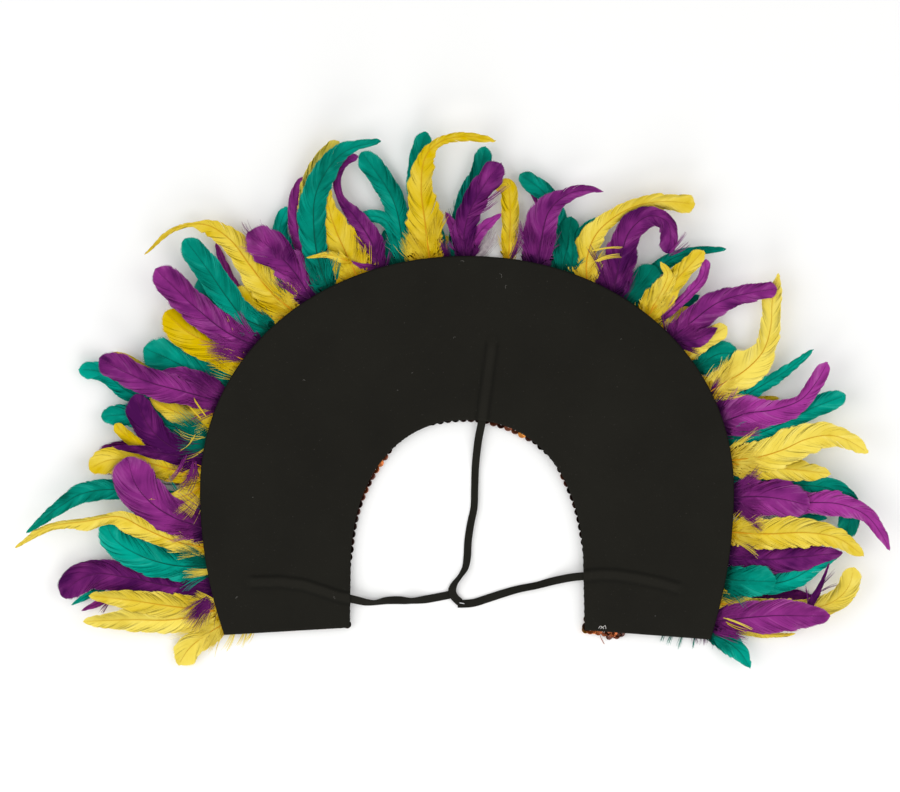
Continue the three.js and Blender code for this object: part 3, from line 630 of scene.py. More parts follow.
def tube(path, radii, sides=8, flatness=1.0):
    """A tube along a path, closed at both ends by a point. flatness squeezes it in height."""
    path = np.asarray(path, float)
    radii = np.broadcast_to(np.asarray(radii, float), (len(path),))
    along = directions(path)
    side = np.cross(along, [0.0, 0.0, 1.0])
    steep = np.linalg.norm(side, axis=1) < 1e-3
    side[steep] = [0.0, 1.0, 0.0]
    side /= np.linalg.norm(side, axis=1, keepdims=True)
    up = np.cross(side, along)
    angle = np.arange(sides) * math.tau / sides
    ring = (np.cos(angle)[None, :, None] * side[:, None]
            + flatness * np.sin(angle)[None, :, None] * up[:, None])
    points = (path[:, None] + ring * radii[:, None, None]).reshape(-1, 3)
    walls = grid_faces(len(path), sides, closed_rows=True)
    near, near_next = np.arange(sides), np.roll(np.arange(sides), -1)
    far = (len(path) - 1) * sides
    caps = np.concatenate([np.stack([near_next, near, np.full(sides, len(points))], -1),
                           np.stack([far + near, far + near_next, np.full(sides, len(points) + 1)], -1)])
    return np.concatenate([points, path[:1], path[-1:]]), walls, caps


def add_tube(heap, path, radii, sides=8, finish=0, flatness=1.0, flat_map=None, **numbers):
    points, walls, caps = tube(path, radii, sides, flatness)
    start = heap.count
    heap.add(points, walls, finish, flat_map, **numbers)
    heap.faces.append(caps + start)
    heap.finish.append(np.full(len(caps), finish))


# %% [markdown]
# ## Elastic straps
# Flat woven elastic, 5.6 mm wide. It twists where it was sewn in slightly turned, so it shows now its
# face and now its edge. A curve with a flat profile would twist by itself in places that can't be
# chosen, so the band is lofted through sections whose twist the table gives.

# %% Smooth line through rows
def covered_along(line):
    """How far each point lies along a line of points, seen from above."""
    return np.concatenate([[0], np.cumsum(np.hypot(*np.diff(line[:, :2], axis=0).T))])


def spaced(line, count):
    """A number of points at equal distances along a line, and those distances."""
    covered = covered_along(line)
    wanted = np.linspace(0, covered[-1], count)
    return np.stack([np.interp(wanted, covered, column) for column in line.T], -1), wanted


def through(rows, step):
    """A smooth line through rows of numbers, as densely as step along its first two columns."""
    rows = np.asarray(rows, float)
    # one more row at each end, straight on, so that the ends have a direction too
    padded = np.concatenate([[2 * rows[0] - rows[1]], rows, [2 * rows[-1] - rows[-2]]])
    result = []
    for p0, p1, p2, p3 in zip(padded, padded[1:], padded[2:], padded[3:]):
        d0, d1, d2 = (max(np.hypot(*(b - a)[:2]), 1e-6) ** 0.5 for a, b in ((p0, p1), (p1, p2), (p2, p3)))
        start = ((p1 - p0) / d0 - (p2 - p0) / (d0 + d1) + (p2 - p1) / d1) * d1
        end = ((p2 - p1) / d1 - (p3 - p1) / (d1 + d2) + (p3 - p2) / d2) * d1
        t = np.linspace(0, 1, 24, endpoint=False)[:, None]
        result.append(p1 + start * t + (3 * (p2 - p1) - 2 * start - end) * t ** 2
                      + (2 * (p1 - p2) + start + end) * t ** 3)
    line = np.concatenate(result + [rows[-1:]])
    return spaced(line, max(4, int(covered_along(line)[-1] / step)))


# %% The band of a strap
STRAP_WIDTH, STRAP_THICKNESS, REST_GAP = 5.6, 1.0, 0.3
STRAP_STEP, BAND_SIDES = 1.2, 20
SIDE_ROUNDING, FACE_ROUNDING = 0.45, 0.7


def strap_band(rows):
    """Points and faces of a twisted band, with its length and its place across at each point."""
    line, covered = through(rows, STRAP_STEP)
    twist = np.radians(line[:, 3])
    lying = REST_GAP + STRAP_WIDTH / 2 * np.sin(abs(twist)) + STRAP_THICKNESS / 2 * np.cos(twist)
    centre = np.column_stack([line[:, :2], np.maximum(line[:, 2], lying)])
    along = directions(centre)
    flat = np.column_stack([-along[:, 1], along[:, 0], np.zeros(len(along))])
    flat /= np.linalg.norm(flat, axis=1, keepdims=True)
    lift = np.cross(along, flat)
    side = flat * np.cos(twist)[:, None] + lift * np.sin(twist)[:, None]
    up = np.cross(along, side)
    angle = np.linspace(0, math.tau, BAND_SIDES, endpoint=False)
    across = np.sign(np.cos(angle)) * abs(np.cos(angle)) ** SIDE_ROUNDING
    height = np.sign(np.sin(angle)) * abs(np.sin(angle)) ** FACE_ROUNDING
    ring = (across[None, :, None] * side[:, None] * STRAP_WIDTH / 2
            + height[None, :, None] * up[:, None] * STRAP_THICKNESS / 2)
    points = (centre[:, None] + ring).reshape(-1, 3)
    faces = grid_faces(len(centre), BAND_SIDES, closed_rows=True).tolist()
    faces.append(list(range(BAND_SIDES))[::-1])
    faces.append(list(range(len(points) - BAND_SIDES, len(points))))
    return points, faces, np.repeat(covered, BAND_SIDES), np.tile(across * STRAP_WIDTH / 2, len(centre))


# %% Woven elastic, and the three straps
CORD_PITCH, PICK_PITCH = 0.8, 0.55

elastic = Finish("woven elastic", Roughness=0.8)
elastic.surface.inputs["Specular IOR Level"].default_value = 0.08
cords = (elastic.attribute("across") * (math.tau / CORD_PITCH)).sine() * 0.5 + 0.5
picks = (elastic.attribute("along") * (math.tau / PICK_PITCH)).sine() * 0.5 + 0.5
knit = cords * 0.6 + picks * 0.4
dyed_yarn = elastic.blend(elastic.noise(60, detail=3), srgb(15, 15, 12), srgb(29, 28, 23))
elastic.feed("Base Color", elastic.blend(knit * 0.3, dyed_yarn, srgb(54, 53, 46)))
elastic.feed("Normal", elastic.bump(knit, 0.7, 0.00018))
for strap, spec in STRAPS.items():
    points, faces, along, across = strap_band(spec["rows"])
    piece(f"elastic_{strap}", points, faces, [elastic.material], strap,
          {"along": along, "across": across})
    print(strap, round(float(along.max())), "mm long")

# %% [markdown]
# ### The staple
# One wire staple holds the three ends together behind the head. A tube along a path with two tight
# bends shows the bent wire better than boxes would.

# %% Staple
def staple_path(x, y, span, foot, crown, turn, bend):
    """The wire's middle line, from one foot over the crown to the other. turn is in degrees."""
    half = span / 2
    angle = np.linspace(0, math.pi / 2, 5)
    left = np.column_stack([-half + bend - bend * np.cos(angle), crown - bend + bend * np.sin(angle)])
    right = left[::-1] * [-1, 1]
    profile = np.concatenate([[(-half, foot)], left, right, [(half, foot)]])
    turn = math.radians(turn)
    return np.column_stack([x + profile[:, 0] * math.cos(turn), y + profile[:, 0] * math.sin(turn),
                            profile[:, 1]])


steel = Finish("staple wire", Metallic=1.0)
scratch = steel.noise(1500, detail=2, stretch=(1, 6, 1))
steel.feed("Base Color", steel.blend(scratch, srgb(176, 176, 178), srgb(222, 222, 224)))
steel.feed("Roughness", scratch * 0.25 + 0.2)
wire = Heap()
add_tube(wire, staple_path(x=-3.6, y=21.2, span=3.3, foot=0.6, crown=3.3, turn=-12, bend=0.45), 0.35, 10)
wire.make("wire_staple", [steel.material], "staple", "staple_steel")
print(wire.count, "points on the staple")


# %% [markdown]
# ## Sequins
# Cupped sequins overlap along the edge of the arch like roof tiles, and only their rims show from
# behind. Each is a shallow cup with a hole, turned and tilted a little at random. How far the string
# peeps out past the board changes along the arch, as it does where it was sewn on by eye.

# %% The thread of the sequin string
SEQUIN_RADIUS, SEQUIN_PITCH, SEQUIN_LEVEL = 3.0, 5.45, 3.2
SEWN_STEP = 1.5
STRING_ENDS = (-132, 108)     # X on the left foot and on the right foot
# distance along the string, how far it peeps out, how bright its painted glint is
PEEPS = [
    (0, 0.2, 0.3), (48, 0.3, 0.25), (58, 0.1, 0.1), (92, 0.2, 0.08), (104, 1.8, 0.12), (140, 2.3, 0.15),
    (146, 2.6, 0.45), (170, 2.6, 0.5), (176, 2.2, 0.15), (184, 0.3, 0.1), (212, 0.1, 0.05),
    (222, 1.2, 0.05), (240, 1.4, 0.08), (254, 1.8, 0.15), (260, 2.7, 0.5), (284, 2.9, 0.6),
    (289, 1, 0.15), (298, 1.6, 0.1), (304, 0.2, 0.1), (314, 0.3, 0.1), (320, 1.6, 0.35),
    (328, 1.8, 0.3), (334, 1.8, 0.1), (366, 1.4, 0.08), (378, 0.2, 0.08), (422, 0.2, 0.1),
    (434, 2.8, 0.4), (470, 3.2, 0.4),
]


def on_foot(side, x):
    """The point of a foot's edge at an X."""
    (x0, y0), (x1, y1) = OUTER_FEET[side], INNER_FEET[side]
    return x, y0 + (y1 - y0) * (x - x0) / (x1 - x0)


def evenly(line, step):
    """Points at equal steps along a line, about as long as step, with the distance along it."""
    return spaced(line, max(3, round(covered_along(line)[-1] / step) + 1))


sewn_edge = np.concatenate([[on_foot(0, STRING_ENDS[0])], inner_edge(np.linspace(0, 1, 240)),
                            [on_foot(1, STRING_ENDS[1])]])
sewn_edge, covered = evenly(sewn_edge, SEWN_STEP)
ahead = directions(sewn_edge)
to_board = np.column_stack([-ahead[:, 1], ahead[:, 0]])
distances, peeps, glints = np.array(PEEPS, float).T
peep = np.interp(covered, distances, peeps)
thread, covered = evenly(sewn_edge + to_board * (SEQUIN_RADIUS - peep)[:, None], SEQUIN_PITCH)
glint = np.interp(covered, distances, glints)
print(len(thread), "sequins on the string")


# %% One cupped sequin
SEQUIN_SIDES, SEQUIN_DEPTH = 20, 0.55
# share of the radius, share of the depth, from the hole out to the rim
SEQUIN_RINGS = np.array([[0.16, -0.8], [0.34, -0.78], [0.66, -0.42], [0.93, -0.03], [1.0, 0.0]])


def turned_about(axis, angle):
    """The matrix that turns points about one of the axes 0, 1 and 2 by an angle in radians."""
    first, second = (axis + 1) % 3, (axis + 2) % 3
    matrix = np.eye(3)
    matrix[first, first] = matrix[second, second] = math.cos(angle)
    matrix[second, first] = math.sin(angle)
    matrix[first, second] = -math.sin(angle)
    return matrix


def sequin(centre, ahead, tilt, roll, radius=SEQUIN_RADIUS):
    """Points and faces of a cup with a hole. ahead is its direction on the thread, and tilt and roll
    are in degrees."""
    reach, depth = SEQUIN_RINGS.T
    angle = np.linspace(0, math.tau, SEQUIN_SIDES, endpoint=False)
    flat = np.stack([np.outer(reach, np.cos(angle)), np.outer(reach, np.sin(angle)),
                     np.outer(depth * SEQUIN_DEPTH / radius, np.ones(SEQUIN_SIDES))], -1)
    turned = (turned_about(2, math.atan2(ahead[1], ahead[0])) @ turned_about(1, math.radians(tilt))
              @ turned_about(0, math.radians(roll)))
    points = flat.reshape(-1, 3) * radius @ turned.T + centre
    return points, grid_faces(len(SEQUIN_RINGS), SEQUIN_SIDES, closed_rows=True)


# %% The two halves of the string
SEQUIN_TILT = -9     # degrees, each one lying on the next

foil = Finish("copper foil", Metallic=0.85, Roughness=0.24, Coat_Weight=0.5, Coat_Roughness=0.1)
# tone is a painted glint along the string and the own colour of the loose sequins, on a ramp from dark brown
# up to bright copper
shade = foil.attribute("tone") + (foil.noise(500, detail=1) - 0.5) * 0.25
foil.feed("Base Color", foil.node("ShaderNodeValToRGB", {"stops": [
    (0.0, srgb(26, 17, 13)), (0.3, srgb(84, 36, 20)), (0.65, srgb(190, 96, 38)), (1.0, srgb(242, 168, 52)),
]}, shade.clamped()))

chance = np.random.default_rng(11)
halves = {"left": Heap(), "right": Heap()}
for i, (spot, onward) in enumerate(zip(thread, directions(thread))):
    half = halves["left" if i < len(thread) / 2 else "right"]
    tilt = SEQUIN_TILT + chance.normal(0, 2)
    points, faces = sequin([*spot, SEQUIN_LEVEL], onward, tilt, chance.normal(0, 3))
    half.add(points, faces, tone=np.clip(glint[i] * chance.uniform(0.3, 1.7), 0, 1))
for side, heap in halves.items():
    heap.make(f"sequin_string_{side}", [foil.material], f"sequin_trim_{side}", "sequins")
    print(heap.count, f"points on the {side} half of the string")

# %% [markdown]
# ### Loose sequins at the right foot
# At the inner corner of the right foot the string was finished off: a few sequins hang loose over the
# board's edge, two are amber, and the ends of a white and a copper thread stick out.

# %% Loose sequins
LOOSE_RADIUS, TABLE_CLEARANCE = 2.7, 0.3
# x, y, z, tilt, roll, tone
FOOT_SEQUINS = [
    (83, 2.6, 3.0, 20, -10, 0.95), (89, 2.2, 2.8, -24, 8, 0.85), (92.5, 1.0, 2.6, 35, 20, 0.35),
    (95.8, 0.2, 2.4, -40, 15, 0.5), (98.5, 1.2, 3.0, 28, -35, 0.25), (101.2, -0.6, 2.2, -20, 30, 0.42),
    (103.6, 0.8, 2.8, 42, 5, 0.3), (106, -0.4, 2.2, -30, -18, 0.45), (99.8, -2.0, 1.8, 22, 12, 0.28),
    (104.6, -1.8, 1.7, -26, 25, 0.36),
]
loose = Heap()
for x, y, z, tilt, roll, tone in FOOT_SEQUINS:
    points, faces = sequin([x, y, z], (1, 0.1), tilt, roll, LOOSE_RADIUS)
    points[:, 2] = np.maximum(points[:, 2], TABLE_CLEARANCE)
    loose.add(points, faces, tone=tone)
loose.make("loose_sequins", [foil.material], slot="sequins")

# %% Thread ends
# finish, radius, points
THREAD_ENDS = [
    (0, 0.16, [(92, 3.6, 7.2), (93.4, 5.4, 8.0), (95.2, 4.6, 8.1), (96.6, 5.8, 8.0), (97.2, 3.4, 7.2),
               (96.0, 0.8, 4.2)]),
    (0, 0.16, [(93.2, 3.2, 7.0), (94.4, 4.4, 7.9), (95.6, 3.6, 7.6), (95.0, 1.2, 4.0)]),
    (1, 0.2, [(92.5, 1.6, 3.2), (93.7, -2.6, 1.4), (94.6, -4.6, 0.5), (96.3, -7.7, 0.4)]),
    (1, 0.2, [(99.0, 1.0, 3.0), (101.0, -2.4, 1.6), (104.0, -3.6, 0.6), (107.0, -3.0, 0.5)]),
]
cotton = Finish("white thread", Roughness=0.8)
cotton.feed("Base Color", cotton.blend(cotton.noise(900), srgb(205, 202, 196), srgb(238, 236, 232)))
copper_thread = Finish("copper thread", Roughness=0.45)
copper_thread.feed("Base Color", copper_thread.blend(copper_thread.noise(900), srgb(120, 50, 24),
                                                     srgb(190, 96, 48)))
ends = Heap()
for finish, radius, points in THREAD_ENDS:
    rows = [(*p, 0) for p in points]
    add_tube(ends, through(rows, 0.4)[0][:, :3], radius, 6, finish)
ends.make("thread_ends", [cotton.material, copper_thread.material], slot="sequins")

# %% [markdown]
# ### Lint
# A few pale curls of lint stick to the cloth. Each is a short bent thread that lies on it.

# %% Lint on the cloth
LINT_RADIUS, LINT_BEND = 0.07, 2.4     # the bend in radians
# x, y, size, turn in degrees
LINT = [(-3, 260, 3, 20), (23, 250, 4, -40), (28, 243, 3, 100), (-8.4, 207, 2, 60), (-114, 177, 2, 10),
        (-160.7, 25, 2.4, 70), (-92.4, 26, 2.2, 150), (-48.6, 170, 1.3, 0), (-38, 182.6, 1.3, 90),
        (132, 12, 1.3, 30), (108, 206, 1.2, 45), (-150, 96, 1.2, 200)]
lint = Heap()
for x, y, size, turn in LINT:
    share = np.linspace(0, 1, 9)
    angle = math.radians(turn) + LINT_BEND * share
    reach = size / 2 * (0.6 + 0.4 * share)
    curl = np.column_stack([x + reach * np.cos(angle), y + reach * np.sin(angle)])
    add_tube(lint, np.column_stack([curl, PANEL_TOP + 0.06 + ridges(curl)]), LINT_RADIUS, 6)
lint_fibre = Finish("lint", Roughness=0.9)
lint_fibre.feed("Base Color", lint_fibre.blend(lint_fibre.noise(900), srgb(92, 90, 86), srgb(150, 147, 141)))
lint.make("lint", [lint_fibre.material], slot="black_cloth")
print(len(FOOT_SEQUINS), "loose sequins,", len(THREAD_ENDS), "thread ends and", len(LINT), "curls of lint")

# %% [markdown]
# ## Feathers
# The feathers are what one looks at, and a feather is not a leaf: hundreds of barbs leave the quill at a
# slant, cling side by side into a vane, part here and there in a split, and near the foot of the quill
# they turn to loose down. A flat leaf with a picture of barbs would save work, but it has a cut-out edge.
# Here every barb is a narrow tilted strip joined to the next, worked out from the same table as the
# solids: its plume, the cut of its vane, its layer, its width and its spine out from the board's edge.

# %% Feather table
class Feather(NamedTuple):
    plume: str
    cut: str
    layer: float     # higher ones lie over lower ones
    width: float
    tint: float      # 0 is the deepest dye of its colour, 1 the palest
    ragged: float    # 1 is a tidy edge
    spine: list


FEATHERS = [
    Feather("yellow_01", "round", 3, 17, 0.8, 1.6, [(-168, 8), (-183, -1), (-195, -11), (-202, -22)]),
    Feather("yellow_02", "pointed", 4, 18, 0.5, 1.2, [(-177, 16), (-205, 19), (-238, 24), (-264, 27)]),
    Feather("yellow_02", "pointed", 4, 19, 1, 1.2, [(-177, 16), (-205, 10), (-236, 10), (-268, 9)]),
    Feather("purple_01", "round", 3, 22, 0.15, 1,
            [(-180, 32), (-206, 33), (-236, 39), (-260, 42), (-274, 36), (-283, 26)]),
    Feather("green_01", "round", 4, 22, 0.7, 1.3,
            [(-181, 47), (-206, 48), (-229, 55), (-246, 66), (-253, 79)]),
    Feather("yellow_03", "streamer", 5, 15, 0.6, 1,
            [(-183, 60), (-205, 65), (-226, 74), (-243, 82), (-266, 79), (-291, 75), (-314, 61)]),
    Feather("green_02", "sickle", 4, 15, 0.4, 1,
            [(-186, 87), (-215, 95.5), (-245, 101), (-269, 98), (-286, 88), (-297, 79), (-307, 71)]),
    Feather("purple_02", "paddle", 6, 28, 0.5, 0.7,
            [(-185, 73.5), (-208, 83), (-222, 93), (-232, 106), (-237, 124)]),
    Feather("yellow_04", "round", 4, 19, 0.25, 1.2,
            [(-187, 109), (-210, 116), (-235, 122), (-252, 121), (-264, 115)]),
    Feather("yellow_04", "round", 4, 9, 0.1, 1,
            [(-186, 117), (-210, 127), (-228, 132), (-240, 140), (-246, 147)]),
    Feather("purple_03", "round", 5, 20, 0, 1,
            [(-184, 125), (-205, 130), (-220, 142), (-228, 156), (-231, 168)]),
    Feather("green_03", "round", 3, 16, 0.5, 1, [(-182, 141), (-210, 146), (-236, 153), (-256, 152)]),
    Feather("green_03", "round", 3, 16, 0.2, 1.5, [(-182, 136), (-200, 138), (-212, 148), (-217, 160)]),
    Feather("green_03", "round", 2, 13, 0.8, 1,
            [(-181, 147), (-212, 160), (-238, 170), (-256, 183), (-272, 185)]),
    Feather("yellow_05", "pointed", 4, 16, 0.3, 1, [(-178, 154), (-196, 153), (-210, 158), (-222, 165)]),
    Feather("purple_04", "round", 6, 20, 0.4, 1,
            [(-175, 163), (-200, 170), (-222, 176), (-240, 184), (-256, 193)]),
    Feather("green_04", "broad", 4, 24, 0.5, 1.2, [(-166, 174), (-186, 181), (-206, 191), (-226, 200)]),
    Feather("yellow_06", "round", 5, 25, 0, 1, [(-157, 192), (-178, 202), (-195, 211), (-211, 225)]),
    Feather("purple_05", "round", 6, 21, 0.5, 1,
            [(-150, 202), (-168, 211), (-186, 225), (-203, 241), (-217, 255)]),
    Feather("green_05", "round", 5, 19, 0.45, 0.7,
            [(-139, 213), (-156, 221), (-169, 237), (-182, 256), (-197, 276)]),
    Feather("green_05", "round", 4, 18, 0.4, 1, [(-139, 213), (-160, 219), (-177, 234), (-187, 249)]),
    Feather("yellow_07", "whip", 4, 26, 0.4, 1.8,
            [(-122, 226), (-138, 240), (-152, 258), (-166, 276), (-183, 286), (-204, 283), (-225, 265)]),
    Feather("yellow_07", "broad", 3, 18, 0.3, 1.2, [(-127, 221), (-142, 223), (-154, 232), (-165, 241)]),
    Feather("purple_06", "round", 5, 23, 0.45, 2.2, [(-109.5, 235), (-120, 252), (-135, 268), (-153, 281)]),
    Feather("green_06", "round", 2, 11, 0.7, 1, [(-114, 231.5), (-124, 266), (-131, 283), (-126, 299)]),
    Feather("purple_07", "round", 3, 12, 0.4, 0.8,
            [(-104.5, 238.5), (-113, 265), (-119, 285), (-119, 303), (-112, 320)]),
    Feather("yellow_08", "round", 4, 12, 0.9, 1,
            [(-91.5, 247.5), (-105, 270), (-112, 293), (-110, 314), (-101, 332), (-89, 344)]),
    Feather("green_07", "arched", 6, 21, 0.35, 1.5,
            [(-98, 243.5), (-104, 262), (-107, 285), (-106, 305), (-98, 323), (-84, 337), (-60, 344)]),
    Feather("yellow_09", "skirt", 5, 26, 0.25, 2,
            [(-77, 250), (-84, 265), (-92, 283), (-97, 300), (-97, 315)]),
    Feather("purple_08", "crook", 4, 16, 0.3, 1,
            [(-62, 255), (-66, 272), (-77, 290), (-88, 304), (-91, 318), (-86, 329), (-76, 334)]),
    Feather("green_08", "round", 3, 16, 0.5, 0.8,
            [(-43, 259), (-46, 280), (-51, 302), (-60, 318), (-74, 337)]),
    Feather("green_08", "round", 3, 9, 0.4, 1, [(-46, 258), (-50, 277), (-58, 290), (-75, 293)]),
    Feather("green_08", "round", 4, 13, 0.5, 0.8, [(-34, 260), (-34, 290), (-36, 320), (-29, 351)]),
    Feather("yellow_10", "fountain", 6, 24, 0.15, 2,
            [(-26, 260), (-29, 285), (-32, 312), (-29, 333), (-19, 343), (-2, 347), (20, 344)]),
    Feather("green_09", "round", 3, 13, 0.35, 1, [(-10, 261), (-5, 285), (0, 306), (9, 324), (13, 341)]),
    Feather("purple_09", "round", 6, 17, 0.15, 1.8, [(-2, 261), (-2, 280), (3, 298), (13, 315), (24, 329)]),
    Feather("purple_09", "pointed", 5, 9, 0.7, 1.2, [(0, 261), (8, 280), (24, 294)]),
    Feather("purple_09", "pointed", 5, 9, 0.4, 1.2, [(-1.5, 261), (-6, 278), (-15, 295)]),
    Feather("yellow_11", "round", 4, 12, 0.25, 1.3, [(29, 259), (30, 282), (30, 300), (28, 313), (20, 311)]),
    Feather("purple_10", "flag", 6, 24, 0.4, 1.1,
            [(49, 256), (52, 276), (57, 295), (68, 306), (81, 310), (95, 309)]),
    Feather("green_10", "round", 3, 13, 0.4, 1, [(59, 254), (64, 283), (57, 305), (37, 322)]),
    Feather("green_10", "round", 4, 15, 0.1, 1.6, [(66, 252), (70, 271), (73, 292)]),
    Feather("green_10", "round", 4, 10, 0.2, 1.5, [(69, 251), (79, 277), (93, 290)]),
    Feather("yellow_12", "spoon", 5, 18, 0.5, 1.3,
            [(84, 247), (84, 263), (90, 279), (104, 292), (121, 300), (140, 302), (159, 300)]),
    Feather("purple_11", "hook", 6, 22, 0.25, 1.1,
            [(103, 240), (107, 262), (114, 282), (127, 292), (139, 288), (142, 276), (139, 266)]),
    Feather("green_11", "broad", 5, 22, 0.15, 1.5, [(113, 233), (122, 243), (131, 258)]),
    Feather("green_11", "pointed", 4, 10, 0.4, 1,
            [(115, 231), (130, 253), (147, 264), (165, 268), (181, 269)]),
    Feather("yellow_13", "leaf", 6, 20, 0.35, 1.5,
            [(126, 221), (133, 231), (144, 245), (154, 256), (165, 268)]),
    Feather("purple_12", "club", 6, 19, 0.45, 1,
            [(143, 206), (158, 219), (176, 232), (196, 238), (216, 241)]),
    Feather("purple_12", "pointed", 6, 12, 0.3, 1.2, [(145, 204), (160, 206), (175, 214)]),
    Feather("yellow_14", "round", 4, 13, 1, 1, [(153, 193), (163, 203), (182, 215)]),
    Feather("green_12", "round", 3, 16, 0.3, 1, [(158, 183), (166, 190), (177, 196), (190, 196)]),
    Feather("yellow_15", "fin", 5, 24, 1, 1.4,
            [(167, 167), (179, 175), (194, 184), (207, 198), (212, 215), (213, 233), (217, 252)]),
    Feather("green_13", "pointed", 4, 10, 0.6, 2.3,
            [(174, 154), (195, 167), (210, 176), (223, 184), (242, 199)]),
    Feather("purple_13", "swan", 6, 26, 0.95, 1.3,
            [(177, 147), (195, 154), (215, 157), (233, 164), (244, 177), (251, 190)]),
    Feather("green_14", "round", 5, 15, 0.7, 1,
            [(180, 135), (200, 139), (220, 147), (241, 158), (264, 167)]),
    Feather("yellow_16", "pointed", 6, 24, 0.85, 1.6,
            [(183, 121), (205, 124), (221, 129), (236, 136), (252, 139), (264, 136), (279, 127)]),
    Feather("yellow_16", "pointed", 5, 19, 0.6, 2, [(183, 119), (208, 117), (229, 115), (254, 112)]),
    Feather("green_15", "round", 4, 15, 0.4, 1,
            [(184, 106.5), (212, 107), (236, 104), (256, 101), (267, 92), (267, 79), (263, 67)]),
    Feather("green_15", "pointed", 3, 10, 0.5, 1, [(184, 103), (212, 90), (235, 82), (252, 81)]),
    Feather("purple_14", "broad", 6, 24, 0.5, 1.2, [(184, 95), (205, 96), (222, 94), (239, 90)]),
    Feather("purple_14", "tusk", 5, 20, 1, 1,
            [(184, 92), (212, 92), (240, 92), (260, 91), (277, 84), (288, 71), (294, 59)]),
    Feather("yellow_17", "pointed", 6, 22, 0.55, 1.4,
            [(184, 71), (210, 70), (238, 71), (259, 67), (276, 55)]),
    Feather("purple_15", "pointed", 5, 21, 0.25, 1, [(182, 55), (206, 52), (232, 54), (262, 57)]),
    Feather("green_16", "broad", 6, 20, 0.5, 1.2, [(179, 38), (198, 37), (216, 37)]),
    Feather("green_16", "pointed", 4, 16, 0.75, 1, [(179, 35), (205, 34), (226, 38), (244, 48), (261, 57)]),
    Feather("yellow_18", "round", 4, 15, 0.8, 1,
            [(177, 21), (212, 17), (240, 18), (256, 23), (266, 33), (270, 47)]),
    Feather("purple_16", "lance", 6, 22, 0.65, 1, [(173, 8), (192, 11), (215, 13), (236, 13), (253, 13)]),
    Feather("green_17", "pointed", 5, 15, 0.75, 1.3, [(169, 0), (181, -5), (191, -13), (198, -24)]),
]
print(len(FEATHERS), "feathers in", len({f.plume for f in FEATHERS}), "plumes")

# %% [markdown]
# ### How the feathers lie on each other
# Under the board all quills lie at one level. Outside it each layer rises to its own height and the
# fan opens outwards, so no feather cuts through another. The height is a function of the layer and
# of the distance from the board's edge, which is looked up in a grid worked out once.

# %% Distance outside the board
CELL, EDGE_FADE = 2.0, 5
grid_x = np.arange(-350, 342, CELL)
grid_y = np.arange(-70, 392, CELL)
cells = np.stack(np.meshgrid(grid_x, grid_y, indexing="ij"), -1).reshape(-1, 2)
ring = np.concatenate([outer_edge(np.linspace(0, 1, 90)), inner_edge(np.linspace(1, 0, 60))])
gaps = np.where(inside(cells, ring), 0, distance_to(cells, ring, closed=True)[0])
gaps = gaps.reshape(len(grid_x), len(grid_y))


def outside_board(points):
    """Distance outside the board's edge, 0 on the board."""
    fx = np.clip((points[..., 0] - grid_x[0]) / CELL, 0, len(grid_x) - 1.001)
    fy = np.clip((points[..., 1] - grid_y[0]) / CELL, 0, len(grid_y) - 1.001)
    i, j = fx.astype(int), fy.astype(int)
    u, v = fx - i, fy - j
    return (gaps[i, j] * (1 - u) * (1 - v) + gaps[i + 1, j] * u * (1 - v)
            + gaps[i, j + 1] * (1 - u) * v + gaps[i + 1, j + 1] * u * v)


def near_board(points):
    """1 at the board's edge, falling off over a few millimetres: how strongly painted shade darkens the
    feathers there.
    """
    return np.exp(-outside_board(points) / EDGE_FADE)


print(gaps.size, "cells, up to", round(float(gaps.max())), "mm from the board")

# %% Height of a layer
QUILL_LEVEL, EDGE_CLEARANCE, LAYER_PITCH, RAMP, FLOOR_LAYER = 3.0, 1.5, 1.75, 15.0, 1.2
LIFT, LIFT_REACH, LIFT_POWER = 6.0, 130.0, 1.6
MIDDLE_LAYER, STACKED_PITCH = 3.5, 0.16


def layer_height(layer, points):
    """Height of a layer of feathers: stacked close at the board's edge, parted and lifted farther out."""
    gap = outside_board(points)
    above = layer - FLOOR_LAYER
    open_share = smoothstep((gap - EDGE_CLEARANCE) / RAMP)
    parted = above * LAYER_PITCH * open_share
    lift = max(0, above) * LIFT * (gap / LIFT_REACH) ** LIFT_POWER
    stacked = (layer - MIDDLE_LAYER) * STACKED_PITCH * (1 - open_share)
    return QUILL_LEVEL + parted + lift + stacked


# %% [markdown]
# ### The cut of a vane
# Each cut gives the half-width along the feather. Cock's hackles are narrow and end in a curl, others are
# cut round or broad. The cuts with a third column are those of single feathers that are much wider on one
# side than on the other, and the third column is their right side, seen from the board towards the tip.

# %% Cuts of the vane
class Cut(NamedTuple):
    tip: float      # length of the rounded end, in half-widths there
    rows: list      # shares of the length, and of the half-width on the left and on the right


